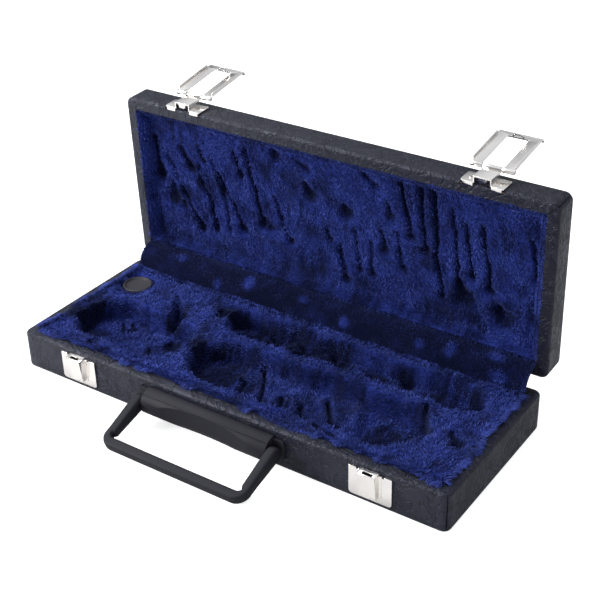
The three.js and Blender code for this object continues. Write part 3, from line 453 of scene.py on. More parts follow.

# %% [markdown]
# Single fibres stand on the plush. Each blade is dark at its root, painted shade where little light
# gets in, and clear blue at its tip. The attribute tip runs from 0 at the root to about 1, and to less
# where the pile is crushed and where the lining carries painted shade.

# %% Pile fibres
pile, tree, shader, place = material("pile")
shade = math_node(tree, "MULTIPLY", node(tree, "Attribute", attribute_name="tip").outputs["Fac"], 0.8)
fill(tree, shader, {
    "Base Color": ramp(tree, shade, (0.0, (0.0012, 0.0018, 0.016)), (0.3, (0.010, 0.017, 0.105)),
                       (0.8, (0.058, 0.090, 0.43)), (1.0, (0.10, 0.15, 0.58))),
    "Roughness": 0.75, "Specular IOR Level": 0.3, "Specular Tint": (0.5, 0.6, 1.0, 1),
    "Sheen Weight": 0.25, "Sheen Tint": (0.3, 0.4, 1.0, 1)})
print("finish:", pile.name)

# %% [markdown]
# The latches and hinges are stamped steel with bright nickel plate, a warm grey metal. The pins and
# rivets are plain steel, and both share the handling marks with their own values.

# %% Nickel and steel
def plated(name, colour, low, high, fineness):
    made, tree, shader, place = material(name)
    marks = use_group(tree, marks_group, place, {"Fineness": fineness})
    fill(tree, shader, {
        "Base Color": ramp(tree, marks["Smudge"], (0.3, tuple(c * 0.93 for c in colour)), (0.7, colour)),
        "Metallic": 1.0, "Roughness": grey_ramp(tree, marks["Smudge"], (0.3, low), (0.7, high)),
        "Normal": bump(tree, marks["Scratch"], 0.12, 0.00005)})
    return made


nickel = plated("nickel", (0.93, 0.89, 0.85), 0.1, 0.26, 90.0)
steel = plated("steel", (0.6, 0.6, 0.6), 0.25, 0.4, 140.0)
print("finishes:", nickel.name, steel.name)

# %% [markdown]
# The handle and the grease pot are moulded plastic. A fine spark-eroded grain makes the handle satin,
# while the pot is smoother and slightly greyer.

# %% Moulded plastic
def moulded(name, colour, roughness, grain_scale, grain_strength):
    made, tree, shader, place = material(name)
    marks = use_group(tree, marks_group, place, {"Fineness": 45.0})
    speckle = pattern(tree, "TexNoise", place, {"Scale": grain_scale, "Detail": 2})
    height = math_node(tree, "SUBTRACT", speckle, marks["Scratch"])
    fill(tree, shader, {
        "Base Color": ramp(tree, marks["Smudge"], (0.35, colour), (0.7, tuple(c * 1.25 for c in colour))),
        "Roughness": grey_ramp(tree, marks["Smudge"], (0.3, roughness - 0.05), (0.7, roughness + 0.08)),
        "Specular IOR Level": 0.22, "Normal": bump(tree, height, grain_strength, 0.00008)})
    return made


handle_plastic = moulded("handle_plastic", (0.010, 0.010, 0.015), 0.6, 2600.0, 0.35)
pot_plastic = moulded("pot_plastic", (0.026, 0.025, 0.031), 0.32, 1800.0, 0.15)
print("finishes:", handle_plastic.name, pot_plastic.name)

# %% [markdown]
# The wooden box hardly shows. Its plywood gets a plain figure of long fibres, so that it is right
# wherever an eye does reach it.

# %% Plywood
plywood, tree, shader, place = material("plywood")
board = pattern(tree, "Mapping", place, {"Scale": (1.0, 12.0, 12.0)})
figure = pattern(tree, "TexNoise", board, {"Scale": 25, "Detail": 6})
fill(tree, shader, {
    "Base Color": ramp(tree, figure, (0.3, (0.36, 0.22, 0.11)), (0.7, (0.60, 0.42, 0.24))),
    "Roughness": 0.75, "Normal": bump(tree, figure, 0.2, 0.0002)})
print("finish:", plywood.name)

# %% [markdown]
# Pieces whose solid already has the right shape only need finer edges. A copy is merged, its flat
# triangles are dissolved into faces, and a narrow bevel gives every stamped or moulded edge a line of
# light. The copy then stands for the solid. Each new piece gets its finish, hides the solids that it
# replaces and rides on a body.

# %% Refined copies of solids
body_of_node = {name: body for body, names in frame["record"]["behaviour"]["bodies"].items() for name in names}
merge_distance, flat_angle, bevel_angle, smooth_angle = 0.002, 2, 30, 40


def dress(piece, finish, slot, body, *replaced):
    paint(piece, finish)
    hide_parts(*replaced)
    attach(piece, body)


def refined(name, finish, slot, bevel_width=0.12, segments=2):
    source = nodes[name]
    piece = source.copy()
    piece.data = source.data.copy()
    piece.name = name + "_finished"
    piece.parent = None
    piece.matrix_world = Matrix.Identity(4)
    for key in list(piece.keys()):
        del piece[key]
    bpy.context.collection.objects.link(piece)
    edit_all(piece)
    bpy.ops.mesh.remove_doubles(threshold=merge_distance * mm)
    bpy.ops.mesh.dissolve_limited(angle_limit=math.radians(flat_angle))
    object_mode()
    if bevel_width:
        apply_modifier(piece, "BEVEL", width=bevel_width * mm, segments=segments, limit_method="ANGLE",
                       angle_limit=math.radians(bevel_angle), use_clamp_overlap=True)
    smooth(piece, smooth_angle)
    dress(piece, finish, slot, body_of_node[name], name)


for side in ("left", "right"):
    for part in ("latch_{}_keeper", "latch_{}_bracket", "latch_{}_lever", "hinge_{}_base_leaf", "hinge_{}_lid_leaf"):
        refined(part.format(side), nickel, "nickel")
    for part, bevel_width in (("latch_{}_pin", 0.08), ("hinge_{}_pin", 0.1), ("handle_pin_{}", 0.15),
                              ("handle_screw_{}", 0.15)):
        refined(part.format(side), steel, "steel", bevel_width)
    for body in ("base", "lid"):
        for end in ("outer", "inner"):
            refined(f"hinge_{side}_{body}_rivet_{end}", steel, "steel", 0.08)
refined("handle_block", handle_plastic, "black_plastic", 0.3, 3)
refined("handle_bail", handle_plastic, "black_plastic", 0)
refined("grease_pot", pot_plastic, "black_plastic", 0.2)
refined("grease_pot_cap", pot_plastic, "black_plastic", 0.2)
for name in ("base_frame", "base_panel", "lid_frame", "lid_panel"):
    paint(nodes[name], plywood)
print("refined pieces ready")

# %% [markdown]
# Each half of the case is wrapped in one skin of leatherette. It covers the outside, turns over the
# rim and ends a little way down inside. A cube gets rounded corners by bevels, its open face is
# bridged to a smaller inner outline, that outline is pulled down, and Solidify gives the thickness.

# %% Leatherette skins
corner_round, edge_round, inner_round = 5, 2, 0.8
base_turn_in, lid_turn_in = 9.0, 6.0


def edge_key(a, b):
    return frozenset((tuple(round(c, 3) for c in a), tuple(round(c, 3) for c in b)))


def boundary_edges(piece):
    """The edges that have only one face, or none, named by their ends."""
    mesh = piece.data
    uses = {}
    for face in mesh.polygons:
        for key in face.edge_keys:
            uses[key] = uses.get(key, 0) + 1
    at = lambda i: mesh.vertices[i].co / mm
    return {edge_key(at(e.vertices[0]), at(e.vertices[1])) for e in mesh.edges
            if uses.get(tuple(sorted(e.vertices)), 0) < 2}


def skin(name, height, turn_in):
    half_x, half_y = case_length / 2, case_width / 2
    piece = box(name, (-half_x, -half_y, 0), (half_x, half_y, height))
    pick(piece, "EDGE", lambda a, b: abs(a.z - b.z) > 1)
    bpy.ops.mesh.bevel(offset=corner_round * mm, segments=8)
    object_mode()
    pick(piece, "EDGE", lambda a, b: abs(a.z - b.z) < 0.01)
    bpy.ops.mesh.bevel(offset=edge_round * mm, segments=4)
    object_mode()
    pick(piece, "FACE", lambda at, normal: normal.z > 0.99 and at.z > height - 0.1)
    bpy.ops.mesh.delete(type="ONLY_FACE")
    bpy.ops.mesh.select_all(action="DESELECT")
    bpy.ops.mesh.primitive_plane_add(size=2 * mm, location=(0, 0, height * mm))
    bpy.ops.transform.resize(value=(half_x - wall_depth, half_y - wall_depth, 1))
    bpy.ops.mesh.bevel(offset=inner_round * mm, segments=8, affect="VERTICES")
    bpy.ops.mesh.delete(type="ONLY_FACE")
    object_mode()
    inner = lambda v: abs(v.x) < half_x - wall_depth + 0.01 and abs(v.y) < half_y - wall_depth + 0.01
    on_rim = lambda v: v.z > height - 0.01
    boundary = boundary_edges(piece)
    pick(piece, "EDGE", lambda a, b: on_rim(a) and on_rim(b) and edge_key(a, b) in boundary)
    bpy.ops.mesh.bridge_edge_loops()
    object_mode()
    boundary = boundary_edges(piece)
    pick(piece, "EDGE", lambda a, b: inner(a) and inner(b) and edge_key(a, b) in boundary)
    extrude_edges((0, 0, -turn_in * mm))
    face_outwards()
    apply_modifier(piece, "SOLIDIFY", thickness=cloth_thickness * mm, offset=-1)
    return piece


base_skin = skin("base_leatherette", base_height, base_turn_in)
lid_skin = skin("lid_leatherette", lid_height, lid_turn_in)
print("skins:", len(base_skin.data.polygons), len(lid_skin.data.polygons), "faces")

# %% [markdown]
# The edges of the skin meet in a fine seam at one corner, and the lid's rim has room for the wings of
# the latch brackets. Both are cut with plain boxes: a slit down the corner, a shallower one over the
# rim, and four notches. Only then is the lid's skin swung open.

# %% Seams and notches
seam_width, seam_depth, rim_slit, whole_wall = 0.8, 0.8, 0.4, 8.0
wing_near, wing_far, wing_depth, wing_height = 5.45, 14.1, 2.0, 1.1


def cut_seam(piece, corner, way_y, rim):
    shift = 2 * math.sqrt(0.5)
    for depth, low, high in ((seam_depth, -1.0, rim + 1.0), (whole_wall, rim - rim_slit, rim + 1.0)):
        reach = corner_round * (math.sqrt(2) - 1) + depth
        deselect()
        bpy.ops.mesh.primitive_cube_add(size=1, location=(0, 0, 0))
        knife = sized("knife", ((2 * reach + 4) * mm, seam_width * mm, (high - low) * mm))
        middle = Vector((corner[0] + shift, corner[1] + way_y * shift, (low + high) / 2))
        apply_place(knife, Matrix.Translation(middle * mm) @ Matrix.Rotation(way_y * math.radians(45), 4, "Z"))
        cut_away(piece, knife)


cut_seam(base_skin, (case_length / 2, -case_width / 2), -1, base_height)
smooth(base_skin, smooth_angle)
dress(base_skin, leatherette, "leatherette", "base", "base_covering")
cut_seam(lid_skin, (case_length / 2, case_width / 2), 1, lid_height)
apply_place(lid_skin, Matrix.Translation((0, lid_middle * mm, lid_top * mm)) @ Matrix.Rotation(math.pi, 4, "X"))
front = -(hinge_offset + case_width)
for side in (-1, 1):
    for wing in (-1, 1):
        x = sorted(side * latch_x + wing * reach for reach in (wing_near, wing_far))
        notch = box("notch", (x[0], front - 3, -3), (x[1], front + wing_depth, rim_gap / 2 + wing_height))
        cut_away(lid_skin, notch)
apply_place(lid_skin, lid_swing)
smooth(lid_skin, smooth_angle)
dress(lid_skin, leatherette, "leatherette", "lid", "lid_covering")
print("skins cut:", len(base_skin.data.polygons), len(lid_skin.data.polygons), "faces")

# %% [markdown]
# The linings are plush over shaped foam. A fine grid is lifted to a height for every point: a top
# level with soft lumps, pockets with sloping walls, and short dents where the pile is crushed. The
# noise comes from seeded random values, smoothly blended, so that each run is the same.

# %% Tools for soft surfaces
def soft_noise(x, y, cell, seed):
    """Smooth random values from -1 to 1 that change over cell millimetres."""
    values = np.random.default_rng(seed).uniform(-1, 1, (260, 260))
    u, v = x / cell + 120.5, y / cell + 120.5
    i, j = np.floor(u).astype(int) % 259, np.floor(v).astype(int) % 259
    fu, fv = u - np.floor(u), v - np.floor(v)
    fu, fv = fu * fu * (3 - 2 * fu), fv * fv * (3 - 2 * fv)
    low = values[i, j] * (1 - fu) + values[i + 1, j] * fu
    high = values[i, j + 1] * (1 - fu) + values[i + 1, j + 1] * fu
    return low * (1 - fv) + high * fv


def ease(t):
    t = np.clip(t, 0, 1)
    return t * t * (3 - 2 * t)


def pocket(x, y, centre, half, slope):
    """1 inside a round-ended pocket, falling to 0 over the slope round it."""
    corner = min(half)
    out_x = np.maximum(np.abs(x - centre[0]) - half[0] + corner, 0)
    out_y = np.maximum(np.abs(y - centre[1]) - half[1] + corner, 0)
    return 1 - ease((np.hypot(out_x, out_y) - corner + slope) / slope)


furrow_scale, lip_share, lip_place, lip_width = 1.3, 0.34, 2.1, 0.8


def dents(x, y, marks):
    """The depth of furrows with raised lips, which swell at the second end."""
    depth = np.zeros_like(x)
    for x0, y0, x1, y1, width, deep in marks:
        length = math.hypot(x1 - x0, y1 - y0) + 1e-6
        c, s = (x1 - x0) / length, (y1 - y0) / length
        along, across = (x - x0) * c + (y - y0) * s, (y - y0) * c - (x - x0) * s
        past = np.maximum(np.maximum(-along, along - length), 0)
        swell = width * (0.85 + 1.0 * ease((along - length + 4.5) / 4.0))
        away = np.hypot(across, past) / swell
        lips = lip_share * np.exp(-((away - lip_place) / lip_width) ** 2)
        depth += deep * (np.exp(-away ** 2) - lips)
    return depth


def patches_of(x, y, spots):
    """Soft round-edged spots: painted shade where the pile lies away from the light, and painted highlight on the
    flap where its pile lies towards it.
    """
    share_at = np.zeros_like(x)
    for cx, cy, rx, ry, share in spots:
        share_at = np.maximum(share_at, share * ease(1.6 - np.hypot((x - cx) / rx, (y - cy) / ry)))
    return share_at


def points_of(mesh):
    """The places of a mesh's points, in millimetres."""
    at = np.empty(len(mesh.vertices) * 3)
    mesh.vertices.foreach_get("co", at)
    return at.reshape(-1, 3) / mm


def store(mesh, name, values):
    """Keeps one number for each point, which a material reads as an attribute."""
    mesh.attributes.new(name, "FLOAT", "POINT").data.foreach_set("value", values.astype(np.float32))


# %% [markdown]
# The base lining has a round-ended bay for the foot joint on the left, a long trough for the middle
# joint along the front, a narrower one for the head joint behind it, a tapered slit, and a round hole
# for the grease pot. The layout repeats that of the solid that it replaces, with softer edges. Each
# furrow is given as two ends, a width and a depth, and each patch of painted shade as a middle, two
# half sizes and a share.

# %% Heights of the base lining
pot_x, pot_y, pot_hole, pot_seat = -134.2, 30.5, 11.8, 11.4
lining_front = -(case_width / 2 - wall_depth - seat_gap)
lining_back = case_width / 2 - wall_depth - flap_gap - flap_cloth
lining_bottom, lining_top = 4.5, 24.3
slit_x, slit_y, slit_lean, slit_length, slit_half = -103, 35, 50, 35, 8.5
base_marks = [
    (-122.8, 0.5, -116.6, -6.6, 1.7, 1.8), (-117.6, 3.7, -112.2, -2.5, 1.7, 1.8),
    (-81, -1, -78, -4.5, 2.6, 2.6), (-87.6, -14.3, -79.7, -23.7, 1.8, 2), (-66, 1, -62.1, -6.2, 2, 2),
    (-12.7, -12, -6.1, -26.9, 2.2, 2.8), (-8.6, 4.1, 12, -29.6, 1.9, 3), (15.9, -14.4, 26, -31.8, 2, 2.8),
    (31.7, -16.5, 37.7, -26.5, 2.4, 2.8), (18.3, -15.1, 22.9, -22.1, 1.8, 2.2), (43, -3.7, 58.7, -23.9, 2.2, 3),
    (103.1, 9.7, 117.2, -12.5, 1.9, 2.8), (-64, 31, -60, 28, 2.4, 2.2), (-24, 36, -20, 31, 2.6, 2.4),
    (52, 31, 57, 26, 2.6, 2.4), (73, 38.4, 77, 35, 2.2, 2), (-2, 38, 3, 31, 2.6, 2.2),
    (22, 38, 27, 30, 2.8, 2.4), (128, -6, 136, -14, 2.2, 1.6), (-110, -44, -96, -46, 2, 1.2),
    (60, -42, 74, -45, 2.2, 1.3)]
base_shade_patches = [
    (-143, -2, 8, 9, 0.9), (-142, -20, 8, 9, 0.9), (-84, 13, 6, 8, 0.8), (-33, -11, 17, 14, 1),
    (92, -16, 15, 13, 0.8), (-45, 34, 24, 6, 0.7), (0, 34, 14, 8, 1), (24, 33, 12, 8, 1), (104, 27, 22, 8, 0.9),
    (54, 29, 9, 7, 0.9), (118, 41, 14, 5, 0.5), (20, -18, 40, 8, 0.25), (-79, -3, 5, 5, 0.5),
    (76, 37, 9, 4, 0.5)]


def base_lining_surface(x, y):
    wobble_x = x + 2.6 * soft_noise(x, y, 17, 11) + 1.2 * soft_noise(x, y, 6, 12)
    wobble_y = y + 2.2 * soft_noise(x, y, 15, 13) + 1.0 * soft_noise(x, y, 6, 14)
    edge = np.minimum(lining_half - np.abs(x), y - lining_front)
    bead = 1.3 * np.exp(-(edge / 3.5) ** 2)
    lumps = 0.8 * soft_noise(x, y, 15, 15) + 0.6 * soft_noise(x, y, 6.5, 16) + 0.35 * soft_noise(x, y, 2.6, 17)
    bay = 14 * pocket(wobble_x, wobble_y, (-98, -15), (45, 25), 6)
    front = 13 * pocket(wobble_x, wobble_y, (33, -15.5), (84, 25.5), 6)
    front += 2.5 * pocket(wobble_x, wobble_y, (90, -15.5), (24, 25.5), 6)
    front -= 2.6 * np.exp(-((wobble_x - 65 + 0.35 * y) / 2.6) ** 2) * ease(front / 6)
    behind = 12 * pocket(wobble_x, wobble_y, (38, 28.5), (96, 14.5), 5.5)
    lean = math.radians(slit_lean)
    along = (x - slit_x) * math.cos(lean) - (y - slit_y) * math.sin(lean)
    across = np.abs((x - slit_x) * math.sin(lean) + (y - slit_y) * math.cos(lean))
    inside_slit = np.minimum(np.minimum(slit_half * along / slit_length - across, slit_length + 1 - along), along)
    slit = 13 * ease(inside_slit / 2.6)
    deep = np.maximum.reduce([bay, front, behind, slit])
    pressed = furrow_scale * dents(wobble_x - 0.6 * (wobble_x - x), y, base_marks)
    from_pot = np.hypot(x - pot_x, y - pot_y)
    hole = ease((pot_hole - from_pot) / 1.0)
    dimple = 1.5 * np.exp(-(np.maximum(from_pot - 11, 0) / 3.5) ** 2)
    crest = 0.9 * np.exp(-((deep - 1.0) / 1.0) ** 2) * (deep > 0.02)
    calm = (1 - hole) * (1 - 0.6 * np.exp(-(edge / 3) ** 2))
    height = lining_top + 0.3 + bead + crest + lumps * calm - deep - pressed - dimple
    height = np.where(hole > 0, height * (1 - hole) + pot_seat * hole, height)
    strand = ease(0.55 + 1.5 * soft_noise(wobble_x, wobble_y * 0.22, 2.2, 20))
    # Patches of painted shade, where the pile lies away from the light, broken into strands.
    painted_shade = patches_of(wobble_x, wobble_y, base_shade_patches) * (0.3 + 1.0 * strand)
    slope = ease((deep - 1.5) / 3.0) * (1 - ease((deep - 10.5) / 3.0))
    worn = 0.55 * np.clip(soft_noise(x, y, 13, 18) + 0.5 * soft_noise(x, y * 0.4, 3.4, 19), 0, 1)
    # Pocket walls and depths are painted darker as shade, together with the shade patches, pressed furrows and
    # random worn spots.
    crushed_and_shaded = np.clip(np.maximum(pressed, 0) / 1.6 + 0.12 * slope + 0.14 * ease(deep / 6) + painted_shade + worn, 0, 1)
    return np.maximum(height, lining_bottom + 2.0), crushed_and_shaded


print("furrows in the base:", len(base_marks))

# %% [markdown]
# A grid is added at the size of the lining. Its points are raised to the heights in code, the outer
# edge is extruded down and flattened to the bottom, and the underside is filled. An attribute of
# pressed pile and painted shade is stored for the material.

# %% Base lining
def lining_block(name, low, high, step, surface, bottom):
    deselect()
    columns, rows = round((high[0] - low[0]) / step), round((high[1] - low[1]) / step)
    bpy.ops.mesh.primitive_grid_add(x_subdivisions=columns, y_subdivisions=rows, size=1,
                                    location=((low[0] + high[0]) / 2 * mm, (low[1] + high[1]) / 2 * mm, 0))
    piece = sized(name, ((high[0] - low[0]) * mm, (high[1] - low[1]) * mm, 1))
    points = points_of(piece.data)
    points[:, 2], crushed_and_shaded = surface(points[:, 0], points[:, 1])
    piece.data.vertices.foreach_set("co", (points * mm).ravel())
    store(piece.data, "crush_and_shade", crushed_and_shaded)
    inside = lambda v: low[0] + 0.01 < v.x < high[0] - 0.01 and low[1] + 0.01 < v.y < high[1] - 0.01
    boundary = boundary_edges(piece)
    pick(piece, "EDGE", lambda a, b: not inside(a) and not inside(b) and edge_key(a, b) in boundary)
    extrude_edges((0, 0, -1 * mm))
    bpy.ops.transform.resize(value=(1, 1, 0), center_override=(0, 0, bottom * mm))
    bpy.ops.mesh.edge_face_add()
    face_outwards()
    smooth(piece, 75)
    return piece


base_lining = lining_block("base_plush", (-lining_half, lining_front), (lining_half, lining_back), 0.85,
                           base_lining_surface, lining_bottom)
dress(base_lining, plush, "plush", "base", "base_liner", "grease_pot_nest")
print("base lining:", len(base_lining.data.vertices), "points")

# %% [markdown]
# The lid lining is a thin padded panel in a low tray of plush. In the photograph its pile is
# marked by many long furrows, slanting on the left and upright on the right, some with a round end.
# Their places were measured in the photograph: two ends, a width and a depth for each.

# %% Lid lining
pad_face, tray_depth = 5.9, 13.2
tray_front = -(hinge_offset + case_width) + wall_depth + seat_gap
tray_back = -(hinge_offset + wall_depth + flap_gap + flap_cloth)
lid_marks = [
    (-132, -85, -104.5, -32, 2, 2.2), (-127, -62, -127.5, -52, 3.6, 2.4), (-118, -88.5, -109.5, -77, 2.4, 2.5),
    (-104, -93, -99.5, -83, 2.1, 1.8), (-103.5, -79, -92.3, -35.5, 2, 2.3), (-92.5, -87.5, -70, -41.5, 2, 2.3),
    (-86.5, -79, -81.5, -37.5, 1.7, 1.9), (-74, -96.5, -68.5, -81.5, 2.2, 2.4),
    (-66.5, -100, -51.5, -49, 2.2, 2.5), (-43.6, -107.5, -40.5, -102, 2.4, 1.8),
    (-42.5, -71.5, -32.7, -42.7, 1.8, 2.1), (-48.5, -54.5, -43.7, -48, 2.3, 1.8),
    (-17.6, -87, -15.8, -80.5, 3, 2), (10.2, -79, 11.8, -75, 2.6, 1.8), (-6.4, -64.7, -1, -51.7, 1.3, 1.2),
    (5.8, -49.3, 10, -27, 2, 2), (18.3, -65, 20.6, -37, 1.5, 1.5), (29, -59, 30.7, -36.6, 1.5, 1.4),
    (35.5, -74, 39.4, -57, 2, 1.6), (48.4, -71, 52.4, -46.4, 1.7, 1.7), (51.4, -106, 57.3, -70.3, 1.7, 1.8),
    (63.7, -105, 66.5, -64.4, 1.9, 2), (72, -108, 79.4, -36, 1.9, 2.3), (85, -96.4, 91.7, -50.2, 1.7, 2),
    (94.3, -89, 99.2, -55, 1.7, 2), (92.8, -46.6, 96, -40.2, 3.6, 2.2), (105.5, -89.8, 111.5, -49.2, 2.2, 2.3),
    (117.4, -39, 121.3, -33, 3.6, 2.2), (137.6, -90, 142, -66, 1.8, 1.5), (-139, -92, -137, -66, 2.8, 2.6),
    (-118, -49, -117, -45, 2, 1.8), (-25.5, -102.5, -17, -98, 1.7, 1.3), (40.5, -89, 43.6, -80.7, 2, 1.7),
    (23, -106, 33, -99, 1.8, 1.4)]
lid_shade_patches = [
    (96, -43, 5, 5, 0.5), (121, -35, 5, 5, 0.5), (138, -98, 9, 8, 0.35), (60, -30, 60, 9, 0.15),
    (-30, -20, 90, 6, 0.15)]


def lid_lining_surface(x, y):
    """Seen from inside the lid: heights above the panel, with y running towards the hinge."""
    wall = np.minimum(lining_half - np.abs(x), np.minimum(y - tray_front, tray_back - y))
    lumps = 0.6 * soft_noise(x, y, 21, 31) + 0.45 * soft_noise(x, y, 7, 32) + 0.2 * soft_noise(x, y, 2.5, 33)
    wobble = x + 1.1 * soft_noise(x, y, 12, 34) + 0.6 * soft_noise(x, y, 5, 35)
    pressed = furrow_scale * dents(wobble, y, lid_marks)
    face = np.maximum(pad_face + lumps - pressed, 0.5)
    height = face + (tray_depth - face) * (1 - ease((wall - 1.4) / 4.2))
    worn = 0.6 * np.clip(soft_noise(x, y, 16, 36) + 0.6 * soft_noise(x, y * 0.4, 3.4, 37), 0, 1)
    # Patches of painted shade darken the pile, together with the pressed furrows and random worn spots.
    crushed_and_shaded = np.clip(np.maximum(pressed, 0) / 2.2 + patches_of(x, y, lid_shade_patches) + worn, 0, 1)
    # The back wall of the tray, below the pad, is painted dark as shade.
    return height, np.where(tray_back - y < 1.5, 0.75, crushed_and_shaded)


lid_lining = lining_block("lid_plush", (-lining_half, tray_front), (lining_half, tray_back), 0.8,
                          lid_lining_surface, 0.0)
lid_inside = Matrix.Translation((0, 0, (lid_top - 4.5) * mm)) @ Matrix.Diagonal((1, 1, -1, 1))
print("lid lining:", len(lid_lining.data.vertices), "points")

# %% [markdown]
# A strip of the same plush bridges the hinge side. It is glued down the back wall of the base and up
# the lid, and bows round the hinges while the lid is open. A plane is bent round the hinge axis with
# the spin operator, its ends are pulled straight, and Solidify gives the thickness of the cloth.
# Extrude and spin may number points and faces differently in each run, so both are sorted by place, to
# a hundredth of a millimetre, and the pile seeded on them comes out the same. The strip's plush is
# painted dark as shade, with tufts of painted highlight, each given as a place along the case, an angle
# round the hinge and two half sizes.

# %% Hinge flap
def sort_by_place(piece):
    at = points_of(piece.data)
    order = np.lexsort(np.round(at, 2).T)
    rank = np.argsort(order).tolist()
    rings = [[rank[i] for i in face.vertices] for face in piece.data.polygons]
    starts = [ring.index(min(ring)) for ring in rings]
    piece.data = bpy.data.meshes.new(piece.name)
    piece.data.from_pydata((at[order] * mm).tolist(), [], sorted(r[k:] + r[:k] for r, k in zip(rings, starts)))


flap_radius = hinge_offset + wall_depth + seat_gap + flap_cloth / 2
flap_tail, strip_start = 5.0, 2.5
deselect()
bpy.ops.mesh.primitive_grid_add(x_subdivisions=128, y_subdivisions=1, size=1)
flap = sized("hinge_flap_plush", (2 * lining_half * mm, strip_start * mm, 1))
edit_all(flap)
bpy.ops.transform.rotate(value=math.pi / 2, orient_axis="X", center_override=(0, 0, 0))
bpy.ops.transform.translate(value=(0, (hinge_y - flap_radius) * mm, (hinge_z - flap_tail + strip_start / 2) * mm))
object_mode()
strip_top = max(v.co.z for v in flap.data.vertices) / mm
pick(flap, "EDGE", lambda a, b: a.z > strip_top - 0.01 and b.z > strip_top - 0.01)
extrude_edges((0, 0, (hinge_z - strip_top) * mm))
bpy.ops.mesh.spin(steps=16, angle=math.radians(open_angle), center=(0, hinge_y * mm, hinge_z * mm), axis=(1, 0, 0))
end_angle = math.pi - math.radians(open_angle)
tail_way = Vector((0, math.sin(end_angle), -math.cos(end_angle)))
extrude_edges(tail_way * flap_tail * mm)
bpy.ops.mesh.select_all(action="SELECT")
bpy.ops.mesh.remove_doubles(threshold=0.01 * mm)
object_mode()
apply_modifier(flap, "SOLIDIFY", thickness=flap_cloth * mm, offset=0)
sort_by_place(flap)
along_case, across_case, above_floor = points_of(flap.data).T
angle_round = np.degrees(np.arctan2(above_floor - hinge_z, across_case - hinge_y))
highlight_tufts = [
    (-114, 118, 3, 13), (-80, 160, 3, 18), (-56, 125, 3.5, 22), (-13, 124, 4, 11), (20, 150, 3, 14),
    (75, 140, 3.5, 12), (95, 130, 3.5, 22), (124, 108, 5, 14), (129, 160, 6, 16)]
painted_highlight = patches_of(along_case, angle_round, [(*tuft, 1.0) for tuft in highlight_tufts])
mottle = 0.25 * soft_noise(along_case, angle_round * 0.25, 9, 41)
# The strip is painted dark as shade, and lighter at the tufts as painted highlight.
store(flap.data, "crush_and_shade", np.clip(0.9 - 0.85 * painted_highlight + mottle, 0, 1))
smooth(flap, 60)
paint(flap, plush)
print("flap:", len(flap.data.polygons), "faces")

# %% [markdown]
# The pile is what makes plush look soft. Thousands of short tapered blades are set on each lining at
# seeded random points. They lean with a slowly turning grain, lie flatter in the crushed marks, and
# spill outwards over the rim along the edges. Each blade has only two faces. The blades that stand
# above the plane where the two halves meet are pieces of their own.

# %% Maker of pile
border_width, spill_width, tallest_blade = 1.6, 3.6, 4.8
blade_half_width, root_depth, bend_at = 0.2, 0.2, 0.55
sides = np.array([(-1, 0, 0), (1, 0, 0), (0, -1, 0), (0, 1, 0)], float)


